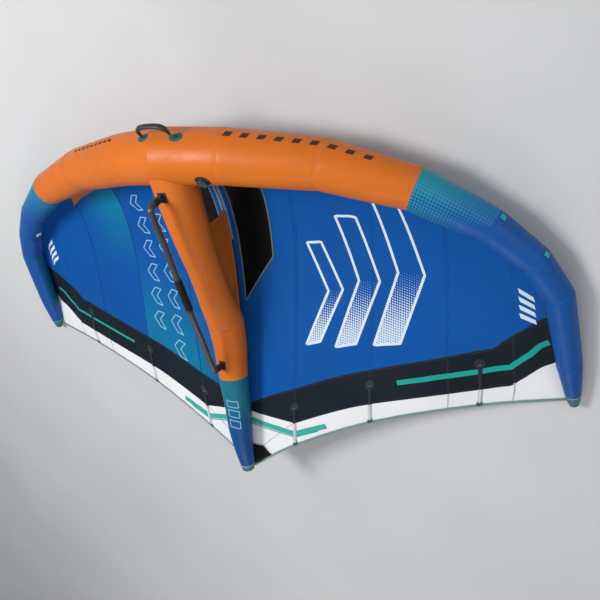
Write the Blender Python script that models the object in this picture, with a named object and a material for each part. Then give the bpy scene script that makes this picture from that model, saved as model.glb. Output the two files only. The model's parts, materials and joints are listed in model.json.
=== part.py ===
"""Inflatable wingfoil wing, about 5 square metres.

It is drawn in its flying attitude: the centre of the leading edge is at the
origin, +X runs to the flyer's left tip, +Y runs aft to the trailing edge and
+Z is the canopy's upper side. One empty then lays the whole wing on its back,
with the strut and the handles up, as it is put down on a beach.
"""

from math import atan2, ceil, cos, pi, radians, sin

import bmesh
import bpy
import numpy as np
from mathutils import Matrix, Vector

for old in list(bpy.data.objects):
    bpy.data.objects.remove(old, do_unlink=True)

# Overall sizes, in metres
HALF_SPAN = 1.690
TIP_SWEEP = 1.300
TIP_RISE = 0.250
CENTRE_CHORD = 1.851
CENTRE_DROOP = 0.061
CANOPY_RISE = 0.215

# Fabric, walls and fits
SLEEVE_WALL = 0.0015
BLADDER_WALL = 0.0010
CLOTH = 0.0015
WEB_CLOTH = 0.0015
GAP = 0.0003

# Leading edge: span, sweep, rise and radius of each seam, as shares
CENTRE_RADIUS = 0.128
LE_SIDES = 24
LE_SEAM_SHARES = (
    (0.000, 0.000, 0.000, 1.000),
    (0.180, 0.020, 0.155, 0.975),
    (0.427, 0.078, 0.480, 0.867),
    (0.647, 0.174, 0.660, 0.727),
    (0.817, 0.312, 0.825, 0.602),
    (0.913, 0.436, 0.930, 0.531),
    (0.965, 0.560, 0.980, 0.492),
    (0.987, 0.831, 1.000, 0.414),
    (0.995, 0.956, 1.000, 0.258),
)
TIP_CAP_LENGTH = 0.056
TIP_CAP_END_RADIUS = 0.014
ATTACH_SIDE = 4

# Canopy: the line of the trailing edge and the section from front to rear
TE_SPAN_SHARE = 0.975
TE_RISE = 0.334
TE_SHARES = (
    (0.000, 1.0000, 0.000),
    (0.172, 0.9055, 0.174),
    (0.444, 0.8045, 0.467),
    (0.775, 0.7285, 0.790),
    (1.000, 0.6980, 1.000),
)
NOSE_SHARE = 0.60
TAIL_SHARE = 1.70
RIB_SHARES = (0.000, 0.175, 0.440, 0.680, 0.860, 1.000)
RIB_FRONT_SHARES = (0.000, 0.260, 0.500, 0.715, 0.885, 1.000)
EXTRA_COLUMN_SHARES = (0.250, 0.310, 0.530, 0.900, 0.970)
TIP_ROWS_START_SHARE = 0.900
HEM_WIDTH = 0.014
HEM_THICKNESS = 0.0030

# Edges of the cloth colours, as (share of span, share of chord)
BLUE_EDGE_SHARES = (
    (0.000, 0.785), (0.175, 0.788), (0.600, 0.775), (0.820, 0.685), (0.960, 0.372), (1.000, 0.190),
)
BLACK_EDGE_SHARES = (
    (0.000, 0.797), (0.175, 0.907), (0.600, 0.921), (0.850, 0.888), (0.970, 0.680), (1.000, 0.559),
)
CORNER_SPAN_SHARES = (0.000, 0.052, 0.0775)
CORNER_CHORD_SHARES = (0.911, 0.943, 0.9895)
CORNER_END_SHARE = 0.080
WINDOW_SPAN_SHARES = (0.0215, 0.1125)
WINDOW_FRONT_SHARE = 0.080
WINDOW_REAR_SHARES = ((0.000, 0.596), (0.0215, 0.596), (0.1125, 0.4346), (0.175, 0.420), (1.000, 0.420))
BLUE_ROW_SHARES = (0.000, 0.010, 0.035)
MIDDLE_ROW_SHARES = (0.300, 0.650)
REAR_ROW_SHARES = (0.330, 0.670)

# Battens and their pockets
BATTEN_SPAN_SHARES = (0.175, 0.440, 0.770)
BATTEN_FRONT_SHARES = (0.850, 0.834, 0.767)
POCKET_WIDTH = 0.030
POCKET_WALL = 0.0012
BATTEN_WIDTH = 0.014
BATTEN_THICKNESS = 0.0025

# Strut: length, arch and radius at each seam, as shares
STRUT_END = 1.813
STRUT_RISE = 0.058
STRUT_RADIUS = 0.107
STRUT_SIDES = 20
STRUT_SHARES = (
    (0.0900, -0.050, 1.000),
    (0.1240, -0.035, 0.970),
    (0.1760, 0.020, 0.920),
    (0.2515, 0.140, 0.850),
    (0.3130, 0.330, 0.800),
    (0.3720, 0.480, 0.790),
    (0.4370, 0.640, 0.813),
    (0.5150, 1.000, 0.888),
    (0.5800, 0.720, 0.832),
    (0.6560, 0.120, 0.757),
    (0.7020, -0.260, 0.720),
    (0.7705, -0.640, 0.673),
    (0.8540, -1.280, 0.598),
    (0.9230, -1.620, 0.495),
    (0.9850, -1.845, 0.367),
    (1.0000, -1.900, 0.330),
)
STRUT_COLOUR_SEAM = 10
STRUT_CAP_SEAM = 14
STRUT_START_SHARE = 0.42
STRUT_CAP_DOME = 0.016

# Web between strut and canopy
WEB_FRONT = 0.395
WEB_FRONT_HOLLOW = 0.016
WEB_STEPS = 6

# Boom under the strut
BOOM_FRONT = 0.158
BOOM_LENGTH = 0.967
BOOM_DROP = 0.206
BOOM_RADIUS = 0.0155
BOOM_BEND = 0.024
BOOM_SIDES = 14
BOOM_PLAIN_TURN = 8
BOOM_TURN_STEP = 16
BOOM_SHARES = (
    (0.012, -1.000),
    (0.110, -0.970),
    (0.213, -0.915),
    (0.371, -0.883),
    (0.675, -0.777),
    (0.785, -0.712),
    (0.925, -0.680),
    (0.992, -0.640),
)
BOOM_GRIP_START = 0.405
BOOM_GRIP_LENGTH = 0.170
BOOM_GRIP_WALL = 0.0035
EYE_RADIUS = 0.0165
EYE_BORE = 0.0115
EYE_LENGTH = 0.026
EYE_SIDES = 20
EYE_STEM = 0.034
ANCHOR_LENGTH = 0.090
ANCHOR_SIDES = 2
ANCHOR_THICKNESS = 0.0020
STRAP_HALF_WIDTH = 0.0107
STRAP_THICKNESS = 0.0030
STRAP_FLAT = 0.0290
STRAP_REACH = 0.0360

# Neutral handle on the front of the leading edge
HANDLE_CENTRE = 0.035
HANDLE_SPAN = 0.166
HANDLE_HEIGHT = 0.060
HANDLE_SIDE = 14
HANDLE_WIDTH = 0.028
HANDLE_THICKNESS = 0.0050
HANDLE_NECK = 0.0045
HANDLE_RISE = 0.016
HANDLE_ARCH_SHARES = (
    (1.000, 0.30), (0.960, 0.52), (0.840, 0.74), (0.620, 0.90), (0.340, 0.98), (0.000, 1.00),
)
FOOT_LENGTH = 0.040
FOOT_THICKNESS = 0.0020
FOOT_EAR = 0.0030
FOOT_EAR_WIDTH = 0.012

# Inflation valve
VALVE_PLACE = 0.222
VALVE_SIDE = 20
VALVE_SIDES = 24
VALVE_SEAT = 0.0008
VALVE_RADIUS = 0.0230
VALVE_FLANGE_RADIUS = 0.0290
VALVE_FLANGE = 0.0030
VALVE_HEIGHT = 0.0110
VALVE_WELL_RADIUS = 0.0160
VALVE_WELL = 0.0035
VALVE_PATCH_RADIUS = 0.0360
VALVE_PATCH = 0.0015
VALVE_CAP_RADIUS = 0.0255
VALVE_CAP = 0.0045
VALVE_HINGE_RADIUS = 0.0030
VALVE_HINGE_LENGTH = 0.0120
DUCT_RADIUS = 0.0100
DUCT_WALL = 0.0025
DUCT_SIDES = 12

OVERRUN = 0.020

ORANGE = (0.640, 0.153, 0.020)
ORANGE_SHADE = (0.215, 0.052, 0.008)
BLUE = (0.001, 0.080, 0.320)
LE_BLUE = (0.004, 0.085, 0.290)
LE_TEAL = (0.010, 0.210, 0.400)
STRUT_TEAL = (0.010, 0.120, 0.260)
CAP_GREY = (0.060, 0.160, 0.170)
NAVY_BLACK = (0.009, 0.013, 0.018)
WHITE = (0.820, 0.820, 0.830)
WINDOW_TINT = (0.012, 0.012, 0.013)
CORNER_BLACK = (0.006, 0.005, 0.004)
HEM_GREY = (0.110, 0.190, 0.180)
WEBBING = (0.012, 0.012, 0.013)
CARBON = (0.020, 0.019, 0.018)
GRIP_BLACK = (0.010, 0.010, 0.010)
BLADDER = (0.500, 0.520, 0.500)
BATTEN_GREY = (0.300, 0.310, 0.300)
VALVE_TEAL = (0.010, 0.070, 0.085)

MATERIALS = {}
BUILT = []
FRAME = bpy.data.objects.new("wing_frame", None)
bpy.context.scene.collection.objects.link(FRAME)


def material(colour, roughness, alpha=1.0):
    """One shared surface for each colour and finish."""
    key = (colour, roughness, alpha)
    if key not in MATERIALS:
        made = bpy.data.materials.new(f"surface_{len(MATERIALS):02d}")
        made.use_nodes = True
        node = made.node_tree.nodes["Principled BSDF"]
        node.inputs["Base Color"].default_value = (*colour, 1.0)
        node.inputs["Roughness"].default_value = roughness
        node.inputs["Metallic"].default_value = 0.0
        node.inputs["Alpha"].default_value = alpha
        made.diffuse_color = (*colour, alpha)
        MATERIALS[key] = made
    return MATERIALS[key]


def make(name, points, faces, surface=None, origin=(0.0, 0.0, 0.0), sharp=40.0):
    """A closed mesh object in the wing's frame. Without a surface it is a cutter."""
    base = Vector(origin)
    mesh = bpy.data.meshes.new(name)
    mesh.from_pydata([Vector(p) - base for p in points], [], faces)
    shape = bmesh.new()
    shape.from_mesh(mesh)
    bmesh.ops.recalc_face_normals(shape, faces=shape.faces)
    if shape.calc_volume(signed=True) < 0:
        bmesh.ops.reverse_faces(shape, faces=shape.faces)
    shape.to_mesh(mesh)
    shape.free()
    mesh.shade_smooth()
    mesh.set_sharp_from_angle(angle=radians(sharp))
    obj = bpy.data.objects.new(name, mesh)
    bpy.context.scene.collection.objects.link(obj)
    obj.parent = FRAME
    obj.location = base
    if surface:
        mesh.materials.append(surface)
        BUILT.append(obj)
    else:
        obj.hide_render = True
        obj.display_type = "WIRE"
    return obj


def combine(obj, other, operation):
    modifier = obj.modifiers.new(operation.lower(), "BOOLEAN")
    modifier.operation = operation
    modifier.solver = "EXACT"
    modifier.object = other


def mirrored(points):
    return [Vector((-p[0], p[1], p[2])) for p in points]


def both_sides(name, points, faces, surface):
    """The same piece on the flyer's left (+X) and right (-X)."""
    make(f"left_{name}", points, faces, surface)
    make(f"right_{name}", mirrored(points), faces, surface)


def skin(rings, start, before):
    """Triangles between rings. Those before the middle ring mirror the ones after it."""
    count = len(rings[0])
    faces = []
    for i in range(len(rings) - 1):
        for k in range(count):
            n = (k + 1) % count
            a, b = start + i * count + k, start + i * count + n
            c, d = b + count, a + count
            faces += [(a, b, d), (b, c, d)] if i < before else [(a, b, c), (a, c, d)]
    return faces


def loft(rings, inner=None, open_start=False, middle=0):
    """Rings joined into a closed skin. With inner rings the skin is a cup or a pipe."""
    count = len(rings[0])
    points = [p for ring in rings for p in ring]
    faces = skin(rings, 0, middle)
    if inner is None:
        faces.append(tuple(range(count)))
        faces.append(tuple(range((len(rings) - 1) * count, len(rings) * count)))
        return points, faces
    start = len(points)
    points += [p for ring in inner for p in ring]
    faces += [face[::-1] for face in skin(inner, start, middle)]
    for k in range(count):
        n = (k + 1) % count
        last = (len(rings) - 1) * count
        inner_last = start + (len(inner) - 1) * count
        faces.append((last + k, last + n, inner_last + n, inner_last + k))
        if open_start:
            faces.append((k, start + k, start + n, n))
    if not open_start:
        faces.append(tuple(range(count)))
        faces.append(tuple(start + k for k in range(count)))
    return points, faces


# Leading edge


def le_seam(index):
    """Centre and radius of a seam. A negative index is on the flyer's right."""
    span, sweep, rise, radius = LE_SEAM_SHARES[abs(index)]
    side = -1 if index < 0 else 1
    centre = Vector((side * span * HALF_SPAN, sweep * TIP_SWEEP, rise * TIP_RISE))
    return centre, radius * CENTRE_RADIUS


def le_axes(index):
    """Direction, aft and up axes of the mitre at a seam on the left side."""
    if index == 0:
        direction = Vector((1, 0, 0))
    else:
        back = (le_seam(index)[0] - le_seam(index - 1)[0]).normalized()
        direction = back
        if index + 1 < len(LE_SEAM_SHARES):
            ahead = (le_seam(index + 1)[0] - le_seam(index)[0]).normalized()
            direction = (back + ahead).normalized()
    up = (Vector((0, 0, 1)) - direction * direction.z).normalized()
    return direction, up.cross(direction), up


def circle(centre, across, up, radius, sides):
    turns = [2 * pi * k / sides for k in range(sides)]
    return [centre + (across * cos(t) + up * sin(t)) * radius for t in turns]


def le_ring(index, offset=0.0, shift=0.0):
    """The tube's ring at a seam, with its radius changed by offset and moved by shift."""
    centre, radius = le_seam(abs(index))
    direction, aft, up = le_axes(abs(index))
    ring = circle(centre + direction * shift, aft, up, radius + offset, LE_SIDES)
    return mirrored(ring) if index < 0 else ring


def le_rings(first, last, offset=0.0, trim=0.0):
    rings = []
    for index in range(first, last + 1):
        shift = 0.0
        if index == first:
            shift = trim if index >= 0 else -trim
        elif index == last:
            shift = -trim
        rings.append(le_ring(index, offset, shift))
    return rings


def le_sleeve(first, last):
    trim = GAP / 2
    outer = le_rings(first, last, 0.0, trim)
    inner = le_rings(first, last, -SLEEVE_WALL, trim)
    return loft(outer, inner, True, max(-first, 0))


def le_solid(seams, offset):
    """The filled tube between the same seam on both sides, with another radius."""
    return loft(le_rings(-seams, seams, offset, GAP), middle=seams)


def le_bladder(seams, offset, trim=0.0):
    """The same tube with half as many sides."""
    rings = le_rings(-seams, seams, offset, GAP + trim)
    return loft([ring[::2] for ring in rings], middle=seams)


def build_leading_edge():
    centre = make("le_centre_sleeve", *le_sleeve(-1, 1), material(ORANGE, 0.55))
    both_sides("le_inner_sleeve", *le_sleeve(1, 3), material(ORANGE, 0.55))
    both_sides("le_pattern_sleeve", *le_sleeve(3, 4), material(LE_TEAL, 0.55))
    both_sides("le_outer_sleeve", *le_sleeve(4, 6), material(LE_BLUE, 0.55))
    both_sides("le_tip_sleeve", *le_sleeve(6, 8), material(LE_BLUE, 0.55))
    build_tip_caps()
    last = len(LE_SEAM_SHARES) - 1
    skin_in = -SLEEVE_WALL - GAP
    bladder = make("le_bladder", *le_bladder(last, skin_in), material(BLADDER, 0.35))
    air = make("le_bladder_air", *le_bladder(last, skin_in - BLADDER_WALL, BLADDER_WALL))
    combine(bladder, air, "DIFFERENCE")
    return centre, bladder


def build_tip_caps():
    last = len(LE_SEAM_SHARES) - 1
    middle, radius = le_seam(last)
    direction, aft, up = le_axes(last)
    outer = []
    inner = []
    for share, size in ((0.0, 1.0), (0.45, 0.86), (0.80, 0.66), (1.0, 0.42)):
        place = middle + direction * (GAP / 2 + share * (TIP_CAP_LENGTH - GAP))
        wide = max(size * radius, TIP_CAP_END_RADIUS)
        outer.append(circle(place, aft, up, wide, LE_SIDES))
        deep = middle + direction * (GAP / 2 + share * (TIP_CAP_LENGTH - GAP - SLEEVE_WALL))
        inner.append(circle(deep, aft, up, wide - SLEEVE_WALL, LE_SIDES))
    both_sides("tip_cap", *loft(outer[::-1], inner[::-1]), material(CAP_GREY, 0.40))


# Canopy


def hermite(table, x):
    """Smooth curve through the rows of a table, whose first column is x."""
    rows = [np.array(row) for row in table]
    last = len(rows) - 1
    i = 0
    while i < last - 1 and x > rows[i + 1][0]:
        i += 1

    def slope(k):
        a = rows[max(k - 1, 0)]
        b = rows[min(k + 1, last)]
        return (b - a) / (b[0] - a[0])

    width = rows[i + 1][0] - rows[i][0]
    t = (x - rows[i][0]) / width
    m0 = slope(i) * width
    m1 = slope(i + 1) * width
    h = (2 * t**3 - 3 * t**2 + 1, t**3 - 2 * t**2 + t, -2 * t**3 + 3 * t**2, t**3 - t**2)
    return h[0] * rows[i] + h[1] * m0 + h[2] * rows[i + 1] + h[3] * m1


def share_at(table, x):
    return float(np.interp(x, [row[0] for row in table], [row[1] for row in table]))


def attach_points():
    """Where the canopy is sewn along the back of the leading edge, seam by seam."""
    lift = CLOTH / 2 + GAP
    return [le_ring(k, lift)[ATTACH_SIDE] for k in range(len(LE_SEAM_SHARES))]


ATTACH = attach_points()
LAST_RIB = 6
FRONT_SPAN = ATTACH[LAST_RIB].x
SEAM_FRONTS = [ATTACH[k].x / FRONT_SPAN for k in range(LAST_RIB + 1)]
SEAM_COLUMNS = [float(np.interp(f, RIB_FRONT_SHARES, RIB_SHARES)) for f in SEAM_FRONTS]


def polyline(points, keys, x):
    return Vector([float(np.interp(x, keys, [p[i] for p in points])) for i in range(3)])


def front_line(u):
    share = float(np.interp(u, RIB_SHARES, RIB_FRONT_SHARES))
    return polyline(ATTACH[: LAST_RIB + 1], SEAM_FRONTS, share)


def rear_line(u):
    _, sweep, rise = hermite(TE_SHARES, u)
    height = rise * TE_RISE - CENTRE_DROOP
    return Vector((u * HALF_SPAN * TE_SPAN_SHARE, sweep * CENTRE_CHORD, height))


TIP_POINTS = ATTACH[LAST_RIB:] + [rear_line(1.0)]


def tip_seams():
    steps = [0.0]
    for a, b in zip(TIP_POINTS, TIP_POINTS[1:]):
        steps.append(steps[-1] + (b - a).length)
    return [s / steps[-1] for s in steps]


TIP_SEAMS = tip_seams()


def tip_line(v):
    """The outer edge of the canopy, which follows the swept tip of the tube."""
    return polyline(TIP_POINTS, TIP_SEAMS, v)


def section(v):
    peak = NOSE_SHARE / (NOSE_SHARE + TAIL_SHARE)
    top = peak**NOSE_SHARE * (1 - peak) ** TAIL_SHARE
    v = min(max(v, 0.0), 1.0)
    return v**NOSE_SHARE * (1 - v) ** TAIL_SHARE / top


def chord_at(u):
    return (rear_line(u) - front_line(u)).length


def canopy_point(u, v):
    """Middle of the cloth. u runs from the strut to the tip, v from front to rear."""
    front = front_line(u)
    rear = rear_line(u)
    point = front.lerp(rear, v)
    point += (tip_line(v) - front_line(1.0).lerp(rear_line(1.0), v)) * u**3
    rise = CANOPY_RISE * chord_at(u) / chord_at(0.0) * (1 - u**4)
    point.z += rise * section(v)
    return point


def canopy_normal(u, v):
    step = 1e-3
    u0 = max(u - step, 0.0)
    u1 = min(u + step, 1.0)
    v0 = max(v - step, step)
    v1 = min(max(v + step, 3 * step), 1.0)
    along = canopy_point(u1, max(v, step)) - canopy_point(u0, max(v, step))
    back = canopy_point(u, v1) - canopy_point(u, v0)
    normal = along.cross(back)
    if u < step:
        normal.x = 0.0
    return normal.normalized()


def hem_front(u):
    return 1 - HEM_WIDTH / chord_at(u)


def middle_row(u):
    return share_at(WINDOW_REAR_SHARES, u)


def blue_rows(u):
    edge = share_at(BLUE_EDGE_SHARES, u)
    middle = middle_row(u)
    shares = list(BLUE_ROW_SHARES) + [WINDOW_FRONT_SHARE]
    shares += [WINDOW_FRONT_SHARE + (middle - WINDOW_FRONT_SHARE) * s for s in MIDDLE_ROW_SHARES]
    shares += [middle] + [middle + (1 - middle) * s for s in REAR_ROW_SHARES] + [1.0]
    return [edge * s for s in shares]


def black_rows(u):
    a = share_at(BLUE_EDGE_SHARES, u)
    b = share_at(BLACK_EDGE_SHARES, u)
    return [a, (a + b) / 2, b]


def corner_row(u):
    if u >= CORNER_END_SHARE:
        return hem_front(u)
    keys = CORNER_SPAN_SHARES + (CORNER_END_SHARE,)
    values = CORNER_CHORD_SHARES + (hem_front(CORNER_END_SHARE),)
    return float(np.interp(u, keys, values))


def white_rows(u):
    """Even thirds, except beside the tip, where the rows meet the seams of the tube."""
    a = share_at(BLACK_EDGE_SHARES, u)
    b = corner_row(u)
    blend = min(max((u - TIP_ROWS_START_SHARE) / (1 - TIP_ROWS_START_SHARE), 0.0), 1.0)
    end_a = BLACK_EDGE_SHARES[-1][1]
    rows = [a]
    for even, seam in zip((1 / 3, 2 / 3), TIP_SEAMS[1:3]):
        beside = (seam - end_a) / (hem_front(1.0) - end_a)
        rows.append(a + (b - a) * (even + (beside - even) * blend))
    return rows + [b]


def corner_rows(u):
    return [corner_row(u), hem_front(u)]


def hem_rows(u):
    return [hem_front(u), 1.0]


def pocket_half_share(u):
    return POCKET_WIDTH / 2 / (HALF_SPAN * TE_SPAN_SHARE)


def all_columns():
    found = set(RIB_SHARES) | set(EXTRA_COLUMN_SHARES) | set(WINDOW_SPAN_SHARES)
    found |= set(CORNER_SPAN_SHARES) | {CORNER_END_SHARE}
    found |= set(SEAM_COLUMNS)
    for u in BATTEN_SPAN_SHARES:
        found |= {u - pocket_half_share(u), u + pocket_half_share(u)}
    ordered = sorted(found)
    kept = [ordered[0]]
    for u in ordered[1:]:
        if u - kept[-1] > 1e-4:
            kept.append(u)
    return kept


COLUMNS = all_columns()


def columns_between(start, end):
    return [u for u in COLUMNS if start - 1e-6 <= u <= end + 1e-6]


def cloth(columns, rows, thickness, leave_out=None, offset=0.0):
    """A piece of cloth of even thickness on the canopy, half a gap inside its own edges."""
    grid = [[canopy_point(u, v) for v in rows(u)] for u in columns]
    normals = [[canopy_normal(u, v) for v in rows(u)] for u in columns]
    depth = len(grid[0])
    cells = []
    for i in range(len(columns) - 1):
        for j in range(depth - 1):
            if leave_out and leave_out(columns[i], columns[i + 1], j):
                continue
            cells.append((i * depth + j, (i + 1) * depth + j, (i + 1) * depth + j + 1, i * depth + j + 1))
    flat = [p for column in grid for p in column]
    up = [n for column in normals for n in column]
    edges = {}
    for cell in cells:
        middle = sum((flat[k] for k in cell), Vector()) / len(cell)
        for a, b in zip(cell, cell[1:] + cell[:1]):
            key = (min(a, b), max(a, b))
            edges.setdefault(key, []).append((a, b, middle))
    border = [found[0] for found in edges.values() if len(found) == 1]
    inward = {}
    for a, b, middle in border:
        line = (flat[b] - flat[a]).normalized()
        away = middle - flat[a]
        away = (away - line * away.dot(line)).normalized()
        inward.setdefault(a, []).append(away)
        inward.setdefault(b, []).append(away)
    placed = []
    for k, point in enumerate(flat):
        if k in inward and len(inward[k]) == 2:
            one, two = inward[k]
            point = point + (one + two) * (GAP / 2 / (1 + one.dot(two)))
        placed.append(point)
    used = sorted({k for cell in cells for k in cell})
    order = {k: n for n, k in enumerate(used)}
    count = len(used)
    top = [placed[k] + up[k] * (offset + thickness / 2) for k in used]
    bottom = [placed[k] + up[k] * (offset - thickness / 2) for k in used]
    faces = [tuple(order[k] for k in cell) for cell in cells]
    faces += [tuple(order[k] + count for k in cell[::-1]) for cell in cells]
    for a, b, _ in border:
        faces.append((order[b], order[a], order[a] + count, order[b] + count))
    return top + bottom, faces


def build_canopy():
    window_row = len(BLUE_ROW_SHARES)
    rear_row = window_row + len(MIDDLE_ROW_SHARES) + 1

    def in_window(start, end, row):
        inside = WINDOW_SPAN_SHARES[0] - 1e-6 <= start and end <= WINDOW_SPAN_SHARES[1] + 1e-6
        return inside and window_row <= row < rear_row

    def window_rows(u):
        return blue_rows(u)[window_row : rear_row + 1]

    blue = material(BLUE, 0.60)
    spans = ((0, 1), (1, 2), (2, 3), (3, 5))
    for number, (a, b) in enumerate(spans, 1):
        columns = columns_between(RIB_SHARES[a], RIB_SHARES[b])
        skip = in_window if number == 1 else None
        both_sides(f"canopy_panel_{number}", *cloth(columns, blue_rows, CLOTH, skip), blue)
    columns = columns_between(*WINDOW_SPAN_SHARES)
    both_sides("window", *cloth(columns, window_rows, CLOTH), material(WINDOW_TINT, 0.15, 0.5))
    whole = columns_between(0.0, 1.0)
    both_sides("black_band", *cloth(whole, black_rows, CLOTH), material(NAVY_BLACK, 0.60))
    both_sides("white_panel", *cloth(whole, white_rows, CLOTH), material(WHITE, 0.60))
    corner = columns_between(0.0, CORNER_SPAN_SHARES[-1])
    both_sides("corner_panel", *cloth(corner, corner_rows, CLOTH), material(CORNER_BLACK, 0.60))
    both_sides("trailing_hem", *cloth(whole, hem_rows, HEM_THICKNESS), material(HEM_GREY, 0.60))


def facet_rail(u, v):
    """A point on the faceted cloth, and its normal, at any v of one grid column."""
    rows = black_rows(u) + white_rows(u)[1:]
    points = [canopy_point(u, r) for r in rows]
    ups = [canopy_normal(u, r) for r in rows]
    return polyline(points, rows, v), polyline(ups, rows, v)


def strip_rings(u, front, width, top, bottom, start_in=0.0):
    """Four-cornered rings along a batten line, on the cloth's lower side."""
    left_u = u - pocket_half_share(u)
    right_u = u + pocket_half_share(u)
    end = hem_front(u) - GAP / chord_at(u)
    front += start_in / chord_at(u)
    rows = [r for r in black_rows(u) + white_rows(u)[1:] if front + 1e-3 < r < end - 1e-3]
    rings = []
    for v in [front] + rows + [end]:
        (a, na), (b, nb) = facet_rail(left_u, v), facet_rail(right_u, v)
        across = (b - a).normalized()
        middle = (a + b) / 2
        up = (na + nb).normalized()
        ring = []
        for side, depth in ((-1, top), (1, top), (1, bottom), (-1, bottom)):
            ring.append(middle + across * (side * width / 2) - up * depth)
        rings.append(ring)
    return rings


def build_battens():
    for number, (u, front) in enumerate(zip(BATTEN_SPAN_SHARES, BATTEN_FRONT_SHARES), 1):
        roof = HEM_THICKNESS / 2 + GAP
        hollow = BATTEN_THICKNESS + 2 * GAP
        floor = roof + hollow + 2 * POCKET_WALL
        outer = strip_rings(u, front, POCKET_WIDTH - 2 * GAP, roof, floor)
        slot = BATTEN_WIDTH + 2 * GAP
        inner = strip_rings(u, front, slot, roof + POCKET_WALL, floor - POCKET_WALL, POCKET_WALL)
        both_sides(f"batten_pocket_{number}", *loft(outer, inner), material(NAVY_BLACK, 0.60))
        top = roof + POCKET_WALL + GAP
        rod = strip_rings(u, front, BATTEN_WIDTH, top, top + BATTEN_THICKNESS, POCKET_WALL + 2 * GAP)
        both_sides(f"batten_{number}", *loft(rod), material(BATTEN_GREY, 0.40))


# Strut


def strut_seam(index):
    length, rise, radius = STRUT_SHARES[index]
    return Vector((0, length * STRUT_END, rise * STRUT_RISE)), radius * STRUT_RADIUS


def strut_axes(index):
    last = len(STRUT_SHARES) - 1
    before = strut_seam(max(index - 1, 0))[0]
    after = strut_seam(min(index + 1, last))[0]
    direction = (after - before).normalized()
    if 0 < index < last:
        here = strut_seam(index)[0]
        direction = ((here - before).normalized() + (after - here).normalized()).normalized()
    return direction, Vector((1, 0, 0)).cross(direction)


def strut_ring(index, offset=0.0, shift=0.0):
    centre, radius = strut_seam(index)
    direction, up = strut_axes(index)
    across = Vector((1, 0, 0))
    return circle(centre + direction * shift, across, up, radius + offset, STRUT_SIDES)


def strut_start_ring(offset=0.0):
    """The strut's front end, which lies inside the leading edge before it is cut to fit."""
    centre, radius = strut_seam(0)
    front = Vector((0, STRUT_START_SHARE * CENTRE_RADIUS, centre.z))
    return circle(front, Vector((1, 0, 0)), Vector((0, 0, 1)), radius + offset, STRUT_SIDES)


def strut_rings(first, last, offset=0.0, trim=0.0):
    rings = []
    for index in range(first, last + 1):
        shift = trim if index == first else -trim if index == last else 0.0
        rings.append(strut_ring(index, offset, shift))
    return rings


def build_strut():
    le_cutter = make("strut_saddle_cutter", *le_solid(1, GAP))
    trim = GAP / 2
    seam = STRUT_COLOUR_SEAM
    outer = [strut_start_ring()] + strut_rings(0, seam, 0.0, trim)
    inner = [strut_start_ring(-SLEEVE_WALL)] + strut_rings(0, seam, -SLEEVE_WALL, trim)
    front = make("strut_front_sleeve", *loft(outer, inner, True), material(ORANGE, 0.55))
    combine(front, le_cutter, "DIFFERENCE")
    outer = strut_rings(seam, STRUT_CAP_SEAM, 0.0, trim)
    inner = strut_rings(seam, STRUT_CAP_SEAM, -SLEEVE_WALL, trim)
    make("strut_rear_sleeve", *loft(outer, inner, True), material(STRUT_TEAL, 0.55))
    build_strut_cap()
    offset = -SLEEVE_WALL - GAP
    centre, radius = strut_seam(0)
    nose = Vector((0, strut_nose(), centre.z))
    start = circle(nose, Vector((1, 0, 0)), Vector((0, 0, 1)), radius + offset, STRUT_SIDES)
    rings = [ring[::2] for ring in [start] + strut_rings(0, STRUT_CAP_SEAM, offset, 0.0)]
    bladder = make("strut_bladder", *loft(rings), material(BLADDER, 0.35))
    combine(bladder, make("strut_bladder_air", *loft(strut_air())), "DIFFERENCE")
    return bladder


def strut_air():
    """The hollow of the strut's bladder."""
    offset = -SLEEVE_WALL - GAP - BLADDER_WALL
    centre, radius = strut_seam(0)
    nose = Vector((0, strut_nose() + BLADDER_WALL, centre.z))
    start = circle(nose, Vector((1, 0, 0)), Vector((0, 0, 1)), radius + offset, STRUT_SIDES)
    rings = [start] + strut_rings(0, STRUT_CAP_SEAM, offset, BLADDER_WALL)
    return [ring[::2] for ring in rings]


def strut_nose():
    """Where the strut's bladder starts, just behind the swept leading edge."""
    return le_place(STRUT_RADIUS, 0, GAP).y + GAP


def build_strut_cap():
    across = Vector((1, 0, 0))
    start = strut_ring(STRUT_CAP_SEAM, 0.0, GAP / 2)
    middle, radius = strut_seam(STRUT_CAP_SEAM + 1)
    tip, tip_up = strut_axes(STRUT_CAP_SEAM + 1)
    rim = circle(middle, across, tip_up, radius, STRUT_SIDES)
    dome = circle(middle + tip * STRUT_CAP_DOME * 0.6, across, tip_up, radius * 0.80, STRUT_SIDES)
    end = circle(middle + tip * STRUT_CAP_DOME, across, tip_up, radius * 0.40, STRUT_SIDES)
    start_in = strut_ring(STRUT_CAP_SEAM, -SLEEVE_WALL, GAP / 2)
    rim_in = circle(middle, across, tip_up, radius - SLEEVE_WALL, STRUT_SIDES)
    deep = middle + tip * (STRUT_CAP_DOME * 0.6 - SLEEVE_WALL)
    dome_in = circle(deep, across, tip_up, radius * 0.80 - SLEEVE_WALL, STRUT_SIDES)
    deeper = middle + tip * (STRUT_CAP_DOME - SLEEVE_WALL)
    end_in = circle(deeper, across, tip_up, radius * 0.40 - SLEEVE_WALL, STRUT_SIDES)
    rings = [end, dome, rim, start]
    inner = [end_in, dome_in, rim_in, start_in]
    make("strut_end_cap", *loft(rings, inner), material(CAP_GREY, 0.40))


def strut_edge(y, side, offset):
    """A point on one long edge of the strut at a given y."""
    rings = [strut_ring(k, offset) for k in range(STRUT_CAP_SEAM + 1)]
    points = [ring[side] for ring in rings]
    return polyline(points, [p.y for p in points], y)


# Web


def web_top_line():
    rows = blue_rows(0.0) + black_rows(0.0)[1:] + white_rows(0.0)[1:] + corner_rows(0.0)[1:] + [1.0]
    below = HEM_THICKNESS / 2 + 2 * GAP
    points = []
    for v in rows:
        points.append(canopy_point(0.0, v) - canopy_normal(0.0, v) * below)
    return points


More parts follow.
